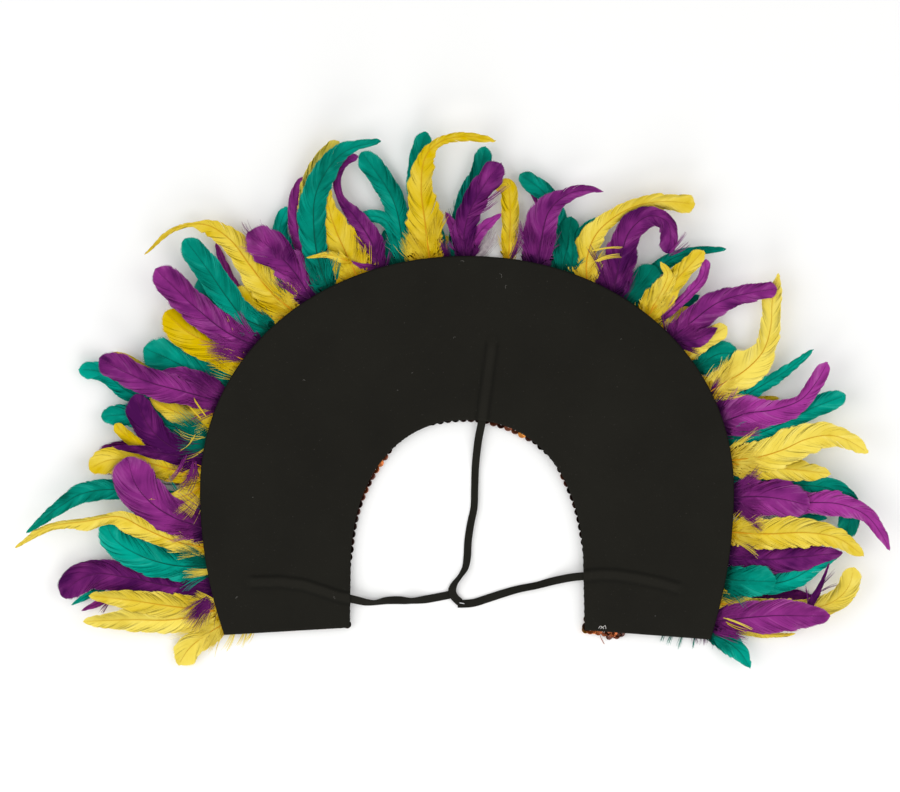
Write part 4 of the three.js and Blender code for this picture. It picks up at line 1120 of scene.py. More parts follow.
CUTS = {
    "round": Cut(1.15, [(0, 0.75), (0.14, 0.92), (0.32, 0.98), (0.6, 1), (0.85, 0.95), (1, 0.85)]),
    "broad": Cut(0.9, [(0, 0.78), (0.12, 0.94), (0.3, 1), (0.7, 1), (1, 0.92)]),
    "pointed": Cut(2.6, [(0, 0.75), (0.15, 0.92), (0.4, 1), (0.65, 0.85), (0.85, 0.52), (1, 0.26)]),
    "coque": Cut(4, [(0, 0.78), (0.12, 0.95), (0.28, 1), (0.5, 0.76), (0.68, 0.5), (0.85, 0.34),
        (1, 0.18)]),
    "sickle": Cut(2, [(0, 0.8), (0.3, 1), (0.62, 0.95), (0.78, 0.65), (0.9, 0.4), (1, 0.12)]),
    "paddle": Cut(0.75, [(0, 0.75, 0.75), (0.2, 0.85, 0.85), (0.5, 1, 1.05), (0.8, 1.1, 1.1),
        (1, 0.85, 0.9)]),
    "club": Cut(0.9, [(0, 0.8), (0.2, 1), (0.45, 1), (0.65, 0.7), (0.85, 0.62), (1, 0.6)]),
    "lance": Cut(1.3, [(0, 0.7), (0.2, 0.92), (0.4, 1.07), (0.7, 0.95), (0.88, 0.6), (1, 0.35)]),
    "streamer": Cut(3, [(0, 0.85, 0.85), (0.25, 0.85, 0.8), (0.4, 1.2, 0.7), (0.5, 0.7, 0.35),
        (0.62, 0.85, 0.3), (0.75, 0.4, 0.3), (0.88, 0.3, 0.35), (1, 0.1, 0.1)]),
    "whip": Cut(3, [(0, 0.9, 0.9), (0.16, 0.92, 1), (0.33, 0.65, 0.8), (0.5, 0.62, 0.6),
        (0.6, 0.55, 0.35), (0.66, 0.3, 0.15), (0.7, 0.12, 0.1), (0.85, 0.14, 0.12), (1, 0.04, 0.04)]),
    "arched": Cut(1.5, [(0, 0.8, 0.7), (0.15, 0.85, 0.7), (0.33, 1.05, 0.75), (0.4, 1.15, 0.75),
        (0.44, 0.9, 0.75), (0.64, 0.85, 0.75), (0.75, 0.7, 0.5), (0.88, 0.4, 0.25), (1, 0.2, 0.15)]),
    "skirt": Cut(1.5, [(0, 1.3, 1.1), (0.12, 1.35, 1.1), (0.24, 1, 1.2), (0.4, 0.75, 0.95),
        (0.5, 0.55, 0.85), (0.64, 0.4, 0.62), (0.8, 0.25, 0.35), (1, 0.15, 0.12)]),
    "crook": Cut(1.2, [(0, 0.8, 0.8), (0.19, 0.85, 1), (0.4, 0.75, 0.9), (0.5, 0.5, 0.55),
        (0.6, 0.35, 0.35), (0.75, 0.35, 0.4), (0.9, 0.5, 0.35), (1, 0.35, 0.3)]),
    "fountain": Cut(3, [(0, 1.25, 0.75), (0.12, 1.1, 0.9), (0.2, 1.05, 1), (0.31, 0.75, 0.85),
        (0.41, 0.75, 0.7), (0.51, 0.5, 0.75), (0.58, 0.4, 0.5), (0.64, 0.3, 0.25), (0.84, 0.25, 0.25),
        (0.95, 0.2, 0.18), (1, 0.06, 0.06)]),
    "flag": Cut(3, [(0, 0.9, 0.7), (0.11, 1, 0.75), (0.24, 1.15, 0.85), (0.35, 1.1, 0.75),
        (0.48, 0.85, 0.65), (0.57, 0.68, 0.5), (0.67, 0.38, 0.5), (0.83, 0.33, 0.28), (0.92, 0.22, 0.12),
        (1, 0.04, 0.04)]),
    "spoon": Cut(0.6, [(0, 1.3, 0.9), (0.15, 1.3, 0.6), (0.3, 1.05, 0.75), (0.38, 0.8, 0.55),
        (0.5, 0.67, 0.5), (0.65, 0.58, 0.45), (0.8, 0.62, 0.65), (1, 0.62, 0.75)]),
    "hook": Cut(0.6, [(0, 1, 0.9), (0.11, 1.1, 1), (0.3, 1.05, 0.9), (0.45, 0.9, 0.75), (0.62, 0.65, 0.8),
        (0.75, 0.45, 0.55), (0.88, 0.5, 0.7), (1, 0.4, 0.6)]),
    "leaf": Cut(1.2, [(0, 1.1, 0.9), (0.2, 1.2, 1), (0.35, 1, 0.9), (0.5, 0.85, 0.7), (0.74, 0.7, 0.55),
        (1, 0.5, 0.5)]),
    "fin": Cut(3, [(0, 0.6, 0.65), (0.14, 0.85, 0.85), (0.25, 1.1, 1), (0.33, 1.05, 0.95),
        (0.4, 0.75, 0.85), (0.5, 0.6, 0.68), (0.65, 0.58, 0.55), (0.83, 0.6, 0.5), (0.9, 0.25, 0.4),
        (1, 0.05, 0.08)]),
    "swan": Cut(1.3, [(0, 1, 0.85), (0.1, 1.08, 0.92), (0.21, 1, 0.92), (0.32, 0.7, 0.85),
        (0.43, 0.48, 0.77), (0.55, 0.32, 0.75), (0.65, 0.28, 0.55), (0.75, 0.4, 0.45), (0.85, 0.45, 0.4),
        (1, 0.3, 0.25)]),
    "tusk": Cut(3, [(0, 1, 1), (0.33, 1, 0.9), (0.43, 0.7, 0.7), (0.52, 0.9, 0.95), (0.61, 0.8, 0.8),
        (0.75, 0.6, 0.5), (0.89, 0.4, 0.4), (1, 0.1, 0.1)]),
}
print(len(CUTS), "cuts of a vane")


# %% Width of a vane, and its spine
SPINE_STEP = 1.0


def half_width(feather, share, length, side):
    """Half-width of the vane's left side, 1, or right side, -1."""
    cut = CUTS[feather.cut]
    rows = np.array(cut.rows, float)
    column = rows[:, 1 if side > 0 else -1]
    wide = feather.width / 2 * np.interp(share, rows[:, 0], column)
    left = np.clip((1 - share) * length / (cut.tip * feather.width / 2 * column[-1]), 0, 1)
    return wide * np.sqrt(1 - (1 - left) ** 2)


class Spine:
    """A feather's spine from under the board to the tip. Shares below 0 lie under the board's edge."""

    def __init__(self, feather):
        self.line, covered = through(feather.spine, SPINE_STEP)
        gap = outside_board(self.line)
        first = int(np.argmax(gap >= EDGE_CLEARANCE))
        self.length = covered[-1] - covered[first]
        self.share = (covered - covered[first]) / self.length
        self.ahead = directions(self.line)

    def at(self, share):
        """Place and direction at shares of the length, straight on beyond both ends."""
        held = np.clip(share, self.share[0], 1)
        place = np.stack([np.interp(held, self.share, c) for c in self.line.T], -1)
        ahead = np.stack([np.interp(held, self.share, c) for c in self.ahead.T], -1)
        ahead /= np.linalg.norm(ahead, axis=-1, keepdims=True)
        return place + ahead * ((share - held) * self.length)[..., None], ahead


# %% [markdown]
# ### Barbs
# The tips of the barbs stand at equal steps along the vane's outline, and each root lies as far back on
# the spine as the barb's slant asks. Neighbours cling together in tufts with a rounded end, which makes
# the edge ragged. A split is a place where the barbs on its two sides are bent apart and aren't joined.
# The end of each barb is free, which leaves a fine fringe along the edge.

# %% Barbs as narrow strips
BARB_SPACING = 0.78
BARB_SHARES = np.array([0, 0.2, 0.42, 0.64, 0.82, 0.94, 1])     # out along a barb
TABLE_GAP = 0.5


def barb_mesh(path, half, tilt, bridged, outward):
    """Strips along paths of shape barbs, steps, 3. bridged says how far out each is joined to the next."""
    run = np.gradient(path, axis=1)
    toward_tip = np.stack([run[..., 1], -run[..., 0], np.zeros(run.shape[:2])], -1) * outward
    toward_tip /= np.maximum(np.linalg.norm(toward_tip, axis=-1, keepdims=True), 1e-9)
    toward_tip[..., 2] = tilt
    offset = toward_tip * half[..., None]
    count, steps = path.shape[:2]
    points = np.stack([path - offset, path + offset], 2).reshape(-1, 3)
    barb, step = np.meshgrid(np.arange(count), np.arange(steps - 1), indexing="ij")
    back = (barb * steps + step) * 2
    strip = np.stack([back, back + 1, back + 3, back + 2], -1).reshape(-1, 4)
    if bridged is not None:
        front = (back + 1)[:-1][step[:-1] < bridged[:, None]]
        following = front + steps * 2 - 1
        bridge = np.stack([front, following, following + 2, front + 2], -1).reshape(-1, 4)
        strip = np.concatenate([strip, bridge])
    return points, strip if outward > 0 else strip[:, ::-1]


def add_barbs(heap, flat, height, half, tilt, bridged, outward, flat_places, along, across, tone, tint,
              lane):
    """Adds barbs from their paths seen from above and their heights. along, across and flat_places hold a
    number for each point of a path, and tone and lane one for each barb."""
    count, steps = flat.shape[:2]

    def both_edges(values):
        return np.repeat(np.broadcast_to(values, (count, steps)).reshape(-1), 2)

    path = np.concatenate([flat, np.maximum(height, TABLE_GAP)[..., None]], -1)
    points, faces = barb_mesh(path, half, tilt, bridged, outward)
    # shaded carries the painted shade next to the board's edge
    heap.add(points, faces, 0, np.column_stack([both_edges(place) for place in flat_places]),
             along=both_edges(along), across=both_edges(across), tone=both_edges(tone[:, None]), tint=tint,
             lane=both_edges(lane[:, None]), shaded=both_edges(near_board(flat)))


# %% Tufts and splits
TUFT_BARBS = (4, 20)                  # the fewest barbs in a tuft, and one more than the most
SPLITS_FROM, SPLIT_EVERY = 0.8, 75    # how ragged a vane is before it splits, and millimetres to a split


def in_tufts(count, chance):
    """The tuft that each barb is in, and how far the tuft's rounded end lets it stand out."""
    sizes = chance.integers(*TUFT_BARBS, count)
    tuft = np.repeat(np.arange(count), sizes)[:count]
    first = np.searchsorted(tuft, tuft)
    within = (np.arange(count) - first + 0.5) / sizes[tuft]
    return tuft, 0.45 - (2 * within - 1) ** 2


def split(feather, length, count, chance):
    """How far splits bend each barb along the vane, and whether each is parted from the next."""
    opened_by, parted = np.zeros(count), np.zeros(count - 1, bool)
    for _ in range(chance.poisson(max(0, feather.ragged - SPLITS_FROM) * length / SPLIT_EVERY)):
        place = chance.uniform(0.18, 0.85) * (count - 1)
        apart = chance.uniform(0.2, 0.8) * feather.width / 18 / length
        fade = chance.uniform(5, 15)
        beyond = np.arange(count) - place
        opened_by += np.sign(beyond) * apart * np.exp(-abs(beyond) / fade)
        parted[int(place)] = True
    return opened_by, parted


# %% [markdown]
# ### One side of a vane
# The numbers of all its barbs are worked out together: where each starts and ends, how far it reaches,
# how it curves on the way, and how high it lies. The barbs near the foot are loose, so they vary more.

# %% A row of barbs
EDGE_SAMPLES, LEAST_BARBS = 600, 24
UNDER_BOARD = 17      # how far in a barb may start
LOOSE_SHARE = 0.14    # of the vane, at its foot
LEAN_PLACES, LEANS = (0, 0.5, 1), (1.3, 1.9, 2.3)    # how far a barb runs on for each step outwards


class Row(NamedTuple):
    root: np.ndarray         # shares of the length where each barb leaves the quill and where it ends
    tip: np.ndarray
    spread: np.ndarray       # how far out it reaches
    lean: np.ndarray
    loose: np.ndarray        # 1 at the foot of the vane, and 0 where the barbs hold together
    tuft: np.ndarray
    opened_by: np.ndarray    # how far splits bend it, and whether it is parted from the next
    parted: np.ndarray


def vane_edge(feather, spine, side, phase):
    """Shares of the length, the slightly uneven half-width at each, and the distance along the edge."""
    fine = np.linspace(-0.02, 1, EDGE_SAMPLES)
    uneven = 1 + 0.035 * np.sin(fine * 9 + phase - side) + 0.025 * np.sin(fine * 23 + phase * side)
    wide = half_width(feather, fine, spine.length, side) * uneven
    along_edge = np.cumsum(np.hypot(np.diff(fine) * spine.length, np.diff(wide)))
    return fine, wide, np.concatenate([[0], along_edge])


def row_of_barbs(feather, spine, side, chance, phase):
    """The barbs on one side of a feather, evenly spaced along the edge of its vane."""
    fine, wide, along_edge = vane_edge(feather, spine, side, phase)
    count = max(LEAST_BARBS, int(along_edge[-1] / BARB_SPACING))
    tip = np.interp(np.linspace(0, along_edge[-1], count), along_edge, fine)
    spread = np.interp(tip, fine, wide)
    loose = np.clip((LOOSE_SHARE - tip) / LOOSE_SHARE, 0, 1)
    lean = np.interp(tip, LEAN_PLACES, LEANS) * (1 + loose * chance.normal(0, 0.2, count))
    root = np.maximum(tip - lean * spread / spine.length, -UNDER_BOARD / spine.length)
    tuft, rounded = in_tufts(count, chance)
    uneven = 0.05 * rounded + 0.04 * chance.normal(0, 1, count)[tuft]
    spread = spread * (1 + feather.ragged * uneven)
    spread = spread * (1 + chance.normal(0, 0.012, count) + loose * chance.normal(0, 0.15, count))
    middle = np.array([tip[tuft == t].mean() for t in range(tuft[-1] + 1)])[tuft]
    tip = tip + (middle - tip) * 0.11 * min(feather.ragged, 2)
    return Row(root, tip, spread, lean, loose, tuft, *split(feather, spine.length, count, chance))


# %% Lift of a vane
def lift_of(feather, row, share, out, side, chance, form):
    """How far a vane's fold, twist and waves and its loose barbs raise each point over its layer."""
    q, count = BARB_SHARES, len(row.tip)
    folded = -form["fold"] * out - 0.02 * out ** 2 / max(feather.width / 2, 1) * 2
    turned = side * out * np.tan(form["twist"] * (0.3 + np.clip(share, 0, 1)))
    ripple = np.sin(share * form["waves"] + form["phase"] + side * 0.8)
    waved = form["wave"] * ripple * out / feather.width * 2
    ruffled = (chance.normal(0, 0.05, count)[:, None] * q
               + (row.loose * chance.normal(0.4, 0.7, count))[:, None] * q ** 2)
    lifted = 0.045 * feather.ragged * chance.normal(0, 1, count)[row.tuft][:, None] * q ** 3
    return folded + turned + waved + ruffled + lifted


# %% [markdown]
# Each feather also has a strip of a flat map of its plume: the vane in the middle, the quill on the right
# and the down above, so that no two of them share a place although they lie over each other.

# %% A vane of barbs
MAP_FOOT, MAP_HEIGHT = 0.02, 0.88
VANE_MIDDLE, VANE_REACH = 0.44, 0.32
BARB_CURVE, REACH_CURVE = 1.12, 1.35
BARB_TILT, SIDES_APART = 0.13, 0.02
THINNEST, THICKEST = 0.08, 0.6      # half the width of a barb at its foot
VANE_OPENS_OVER = 20                # millimetres from the board
PARTED_FROM = 2                     # the step along a barb where a split begins


def vane(heap, feather, spine, side, chance, form, slot):
    """One side of a vane. form holds the feather's twist, fold and waves, slot its strip of the flat map."""
    row = row_of_barbs(feather, spine, side, chance, form["phase"])
    q, count = BARB_SHARES, len(row.tip)
    share = row.root[:, None] + (row.tip - row.root)[:, None] * q ** BARB_CURVE
    share = share + row.opened_by[:, None] * q ** 3
    across_quill = np.minimum(0.5, row.spread * 0.25)[:, None]
    out = row.spread[:, None] * (1 - (1 - q) ** REACH_CURVE) - across_quill * (1 - q) ** 6
    place, ahead = spine.at(share)
    normal = np.stack([-ahead[..., 1], ahead[..., 0]], -1) * side
    flat = place + normal * out[..., None]
    opened = smoothstep(outside_board(flat) / VANE_OPENS_OVER)
    lift = lift_of(feather, row, share, out, side, chance, form)
    height = layer_height(feather.layer, flat) + lift * opened + side * SIDES_APART

    root_pitch = np.gradient(row.root) * spine.length / np.sqrt(1 + row.lean ** 2)
    pitch = root_pitch[:, None] + (BARB_SPACING * 0.55 - root_pitch)[:, None] * q
    half = np.clip(pitch * 0.5, THINNEST, THICKEST) * (1 - 0.7 * q ** 10)
    bridged = np.where(row.parted, PARTED_FROM, len(q) - 2) * (row.loose[:-1] < 0.9)
    tone = 0.5 + chance.normal(0, 0.07, count) + 0.02 * chance.normal(0, 1, count)[row.tuft]
    lane = chance.uniform(0, 50) + np.arange(count) * 0.11
    left, width = slot
    column = VANE_MIDDLE + side * np.clip(out / feather.width * 2, 0, 1.3) * VANE_REACH
    flat_places = (left + width * column, MAP_FOOT + MAP_HEIGHT * np.clip(share + 0.08, 0, 1.08) / 1.08)
    add_barbs(heap, flat, height, half, BARB_TILT, bridged, side, flat_places, share, q,
              np.clip(tone, 0, 1), feather.tint, lane)


# %% [markdown]
# ### Quill and down
# The shaft thins from a millimetre to almost nothing at the tip. At its foot the barbs have no hooks:
# they stand apart, curl, and fill the space between one plume and the next along the board.

# %% Quill
QUILL_SIDES, QUILL_PIECES, QUILL_FLATNESS = 6, 40, 0.75
QUILL_PLACES, QUILL_HALVES = (0, 0.15, 0.6, 1), (0.5, 0.36, 0.2, 0.08)
QUILL_ENDS, QUILL_OVER_VANE = 0.97, 0.12
QUILL_COLUMN, QUILL_COLUMN_WIDTH = 0.9, 0.08


def quill(heap, feather, spine, chance, slot):
    """The shaft, over its whole length but the last bit of the vane."""
    path = spine.line[spine.share < QUILL_ENDS]
    step = max(1, len(path) // QUILL_PIECES)
    path = np.concatenate([path[:-1:step], path[-1:]])
    share = np.linspace(0, 1, len(path))
    half = np.interp(share, QUILL_PLACES, QUILL_HALVES) * (0.7 + feather.width / 60)
    middle = np.column_stack([path, layer_height(feather.layer, path) + QUILL_OVER_VANE])
    left, width = slot
    round_shaft = np.tile(np.arange(QUILL_SIDES) / QUILL_SIDES, len(path))
    rings = np.repeat(share, QUILL_SIDES)
    spots = np.column_stack([left + width * (QUILL_COLUMN + QUILL_COLUMN_WIDTH * round_shaft),
                             MAP_FOOT + MAP_HEIGHT * rings])
    spots = np.concatenate([spots, spots[:1], spots[-1:]])
    add_tube(heap, middle, half, QUILL_SIDES, 1, QUILL_FLATNESS, spots,
             along=np.concatenate([rings, [0, 1]]), across=0.0, tone=float(chance.uniform(0.3, 0.7)),
             tint=feather.tint, lane=0.0, shaded=0.0)


# %% Loose barbs
STRAND_STEPS, STRAND_TILT = 7, 0.25
STRANDS_OPEN_OVER = 14    # millimetres from the board
DOWN_ROW, DOWN_ROW_HEIGHT = 0.93, 0.05
DOWN_COLUMN, DOWN_COLUMNS_WIDTH = 0.08, 0.72


def strands(heap, start, middle, end, layer, tint, chance, slot, thin=0.22, rise=1.6):
    """Loose barbs, each a curve from its start past its middle to its end."""
    count = len(start)
    q = np.linspace(0, 1, STRAND_STEPS + 1)[None, :, None]
    flat = (1 - q) ** 2 * start[:, None] + 2 * q * (1 - q) * middle[:, None] + q ** 2 * end[:, None]
    q = q[0, :, 0]
    opened = smoothstep(outside_board(flat) / STRANDS_OPEN_OVER)
    height = layer_height(layer, flat) + chance.uniform(-0.4, rise, count)[:, None] * q * opened
    half = np.broadcast_to(thin * (1 - 0.75 * q ** 2), flat.shape[:2])
    left, width = slot
    column = left + width * (DOWN_COLUMN + DOWN_COLUMNS_WIDTH * chance.random(count))
    tone = np.clip(chance.normal(0.5, 0.12, count), 0, 1)
    flat_places = (column[:, None], DOWN_ROW + DOWN_ROW_HEIGHT * q)
    add_barbs(heap, flat, height, half, STRAND_TILT, None, 1, flat_places, 0.3, q * 0.6, tone, tint,
              np.arange(count) * 0.3)


# %% Down
DOWN_TUFT = (5, 14)


def down(heap, feather, spine, chance, count, slot):
    """Loose barbs at the foot of the vane, in tufts that fan out from under the board's edge."""
    half = feather.width / 2
    sizes = chance.integers(*DOWN_TUFT, count)
    tuft = np.repeat(np.arange(count), sizes)[:count]
    pick = chance.random((count, 4))[tuft]
    place, ahead = spine.at(-0.06 + 0.16 * pick[:, 0])
    normal = np.column_stack([-ahead[:, 1], ahead[:, 0]])
    aside = (pick[:, 1] - 0.5) * 2.2 + chance.normal(0, 0.12, count)
    start = place + normal * (aside * half * 0.7)[:, None]
    length = (8 + 11 * pick[:, 2]) * (0.6 + feather.width / 45) * chance.uniform(0.75, 1.1, count)
    swing = (pick[:, 3] - 0.5) * 0.9 + chance.normal(0, 0.07, count)

    def onward(angle):
        run = ahead * np.cos(angle)[:, None] + normal * np.sin(angle)[:, None]
        return run * (length * 0.5)[:, None]

    middle = start + onward(aside * 0.45)
    end = middle + onward(aside * 0.45 + swing)
    strands(heap, start, middle, end, feather.layer, feather.tint * 0.8, chance, slot)


# %% A whole feather
def grow(heap, feather, chance, down_density=4, slot=(0, 1)):
    """Both sides of the vane, the quill, and so many barbs of down for each millimetre of width."""
    spine = Spine(feather)
    form = dict(twist=math.radians(chance.uniform(-10, 10)), fold=chance.uniform(0.05, 0.17),
                wave=chance.uniform(0.3, 1.0), waves=chance.uniform(5, 12), phase=chance.uniform(0, 6))
    for side in (-1, 1):
        vane(heap, feather, spine, side, chance, form, slot)
    quill(heap, feather, spine, chance, slot)
    down(heap, feather, spine, chance, int(down_density * feather.width), slot)


# %% [markdown]
# ### Dyes
# Purple, green and yellow dye take unevenly: full on the vane, and paler towards the thin ends of the barbs,
# where a painted sheen also lightens streaks along them. Painted shade darkens the foot of each vane, a line
# along the quill and the feathers next to the board's edge. The mesh carries how far along and across each
# point lies and a tone for each barb, and four mixes turn them into the colour. Quills take the dye
# differently: ochre on yellow, and dark on purple and green.

# %% The dyes
class Dye(NamedTuple):
    deepest: tuple       # the full dye at its deepest and at its palest
    palest: tuple
    shade: tuple         # the dye in the shade of the foot
    light: tuple         # the pale thin end of a barb, and the painted sheen along it
    quill_foot: tuple
    quill_tip: tuple
    streaked: float      # how dark its streaks and its painted shade along the quill are
    painted_edge_shade: float        # how strong its painted shade next to the board is


DYES = {
    "purple": Dye((68, 14, 74), (158, 54, 144), (42, 10, 50), (200, 136, 190), (70, 18, 70), (84, 22, 80),
                  0.7, 0.9),
    "green": Dye((0, 98, 82), (0, 162, 142), (0, 54, 44), (70, 196, 174), (0, 76, 62), (0, 92, 78),
                 0.7, 0.9),
    "yellow": Dye((206, 174, 0), (236, 214, 92), (176, 136, 0), (246, 234, 150), (208, 144, 20),
                  (206, 164, 30), 0.5, 0.2),
}


# %% Dyed barbs and quills
def dyed_barbs(name, dye):
    """The finish of the barbs in one dye, with its painted shade and painted sheen."""
    barbs = Finish(f"{name} barbs", Roughness=0.65)
    barbs.surface.inputs["Specular IOR Level"].default_value = 0.02
    far, margin, tone, tint = (barbs.attribute(n) for n in ("along", "across", "tone", "tint"))
    along_barbs = barbs.node("ShaderNodeCombineXYZ", {}, barbs.attribute("lane"), margin * 0.7, tint * 9)
    streak = barbs.noise(1.0, detail=4, roughness=0.62, at=along_barbs)
    broad = barbs.noise(55, detail=2)
    depth = (tint + (broad - 0.5) * 1.1 + (streak - 0.5) * 0.9).clamped()
    full = barbs.blend(depth, srgb(*dye.deepest), srgb(*dye.palest))
    # painted shade at the foot of the vane, where the barbs lie under each other
    from_foot = (far * 4 + (streak - 0.5) + tone * 0.5 + 0.05).clamped()
    body = barbs.blend(from_foot, srgb(*dye.shade), full)
    # paler thin ends of the barbs, and painted sheen in streaks along them
    thin = (margin ** 3 * 0.25 + (tone - 0.5) * 0.7 + (streak - 0.55) * 1.5).clamped() * (tint + 0.02)
    lit = barbs.blend(thin, body, srgb(*dye.light))
    # painted shade along the quill, where the vane is cupped
    painted_quill_shade = (1 - margin * 6).clamped() * 0.15
    dark = ((0.5 - tone) * 0.6 + (0.44 - broad) + (0.42 - streak) * 1.6 + painted_quill_shade).clamped()
    # painted shade next to the board's edge, where the feathers lie under and between each other
    foot = barbs.attribute("shaded") * dye.painted_edge_shade
    barbs.feed("Base Color", barbs.blend((dark * dye.streaked + foot).clamped(), lit, srgb(*dye.shade)))
    return barbs.material


def dyed_quill(name, dye):
    """The finish of the quills in one dye, from the foot to the tip."""
    shaft = Finish(f"{name} quill", Roughness=0.6)
    shaft.surface.inputs["Specular IOR Level"].default_value = 0.08
    colour = shaft.blend(shaft.attribute("along"), srgb(*dye.quill_foot), srgb(*dye.quill_tip))
    shaft.feed("Base Color", colour)
    return shaft.material


dyed = {name: [dyed_barbs(name, dye), dyed_quill(name, dye)] for name, dye in DYES.items()}
print(len(dyed), "dyes")

# %% Grow the plumes
faces_grown = 0
for number, plume in enumerate(dict.fromkeys(f.plume for f in FEATHERS)):
    heap = Heap()
    members = [f for f in FEATHERS if f.plume == plume]
    for place, feather in enumerate(members):
        chance = np.random.default_rng(100 + 7 * number + place)
        grow(heap, feather, chance, slot=(place / len(members), 1 / len(members)))
    dye = plume.split("_")[0]
    grown = heap.make(f"barbs_{plume}", dyed[dye], f"plume_{plume}", f"{dye}_feather", mapped=True)
    faces_grown += len(grown.data.polygons)
print(faces_grown, "faces of barbs, quills and down")

# %% [markdown]
# ### Small feathers between the plumes
# Shorter feathers and single wisps fill the fan between the plumes. They carry no solid of their own,
# since they lie within the plumes' thickness, and all of one dye share one mesh.

# %% Small feathers
SMALL = [
    Feather("green", "pointed", 1.6, 5, 0.5, 1, [(-255, 31), (-265, 27), (-277, 20)]),
    Feather("purple", "pointed", 1.6, 5, 0.5, 1, [(-250, 25), (-259, 21), (-270, 16)]),
    Feather("purple", "round", 0.7, 24, 0.3, 1,
            [(-183, 110), (-205, 119), (-225, 124), (-245, 123), (-260, 117)]),
    Feather("purple", "coque", 4.7, 13, 0.1, 1.5, [(-182, 123), (-205, 125), (-225, 128), (-247, 131)]),
    Feather("yellow", "coque", 6, 11, 0.4, 1.5, [(-184, 106), (-190, 100), (-203, 95), (-222, 94)]),
    Feather("yellow", "coque", 1.2, 9, 0.4, 1,
            [(-186, 166), (-205, 177), (-225, 186), (-240, 195), (-248, 197)]),
    Feather("purple", "coque", 5.6, 15, 0.3, 2, [(-170, 165), (-185, 176), (-200, 183), (-213, 184)]),
    Feather("green", "coque", 4.8, 7, 0.3, 1, [(-136, 212), (-145, 220), (-155, 233)]),
    Feather("purple", "pointed", 1, 8, 0.7, 1.5, [(-155, 232), (-166, 248), (-172, 262), (-176, 274)]),
    Feather("yellow", "coque", 6.6, 6, 0.4, 1, [(-84, 261), (-96, 265), (-112, 263)]),
    Feather("purple", "coque", 6.2, 5, 0.6, 1, [(-61, 257), (-72, 257), (-82, 261)]),
    Feather("green", "pointed", 0.6, 12, 0, 1.5, [(-46, 246), (-53, 262), (-58, 283)]),
    Feather("green", "pointed", 2, 9, 0, 1, [(-24, 258), (-20, 270), (-17, 283)]),
    Feather("yellow", "pointed", 0.8, 10, 0.3, 1, [(-4, 258), (-8, 267), (-15, 279)]),
    Feather("purple", "coque", 1.4, 6, 0.6, 1, [(56, 262), (57, 280), (50, 300), (38, 321)]),
    Feather("green", "coque", 5.6, 8, 0.1, 1.5, [(73, 250), (74, 268), (72, 284)]),
    Feather("yellow", "pointed", 6.3, 9, 0.5, 1.3, [(129, 227), (138, 244), (140, 252), (135, 260)]),
    Feather("yellow", "pointed", 6.2, 8, 0.5, 1.3, [(132, 228), (141, 243), (147, 255)]),
    Feather("purple", "round", 5, 7, 0.8, 1, [(138, 222), (155, 238), (165, 250), (167, 262)]),
    Feather("green", "pointed", 0.6, 13, 0.1, 1.5, [(128, 206), (140, 221), (152, 231), (163, 237)]),
    Feather("yellow", "pointed", 1, 10, 0.5, 1, [(126, 202), (137, 215), (145, 222), (155, 229)]),
    Feather("yellow", "coque", 2, 6, 0.2, 1, [(157, 186), (166, 180), (171, 174)]),
    Feather("purple", "pointed", 0.6, 12, 0.1, 1.5, [(170, 148), (185, 158), (198, 168), (208, 173)]),
    Feather("yellow", "pointed", 1, 9, 0.2, 1, [(172, 148), (190, 158), (205, 163), (219, 165)]),
    Feather("purple", "pointed", 0.6, 15, 0, 1.5, [(178, 16), (192, 21), (215, 26), (245, 25)]),
    Feather("purple", "coque", 4.5, 5, 0.1, 1.5, [(239, 19), (246, 32), (250, 42), (253, 50)]),
    Feather("yellow", "coque", 2, 8, 0.7, 1, [(174, 10), (187, 5), (205, 0), (222, -1), (230, 0)]),
]
small = {dye: Heap() for dye in DYES}
for number, feather in enumerate(SMALL):
    grow(small[feather.plume], feather, np.random.default_rng(900 + number), down_density=2)
print(len(SMALL), "small feathers")

# %% [markdown]
# ### Wisps
# Single tufts of barbs have come out of the order and lie across their neighbours, and a few stick out
# under the feet. A curve with one bend is enough for each, and a spread of its ends makes the tuft.

# %% Wisp table
class Wisp(NamedTuple):
    dye: str
    layer: float
    count: int
    thin: float      # half the thickness of a barb
    tint: float
    start: tuple
    end: tuple
    bend: float      # how far its middle is bent to the left
    spread: float    # how far the tips spread


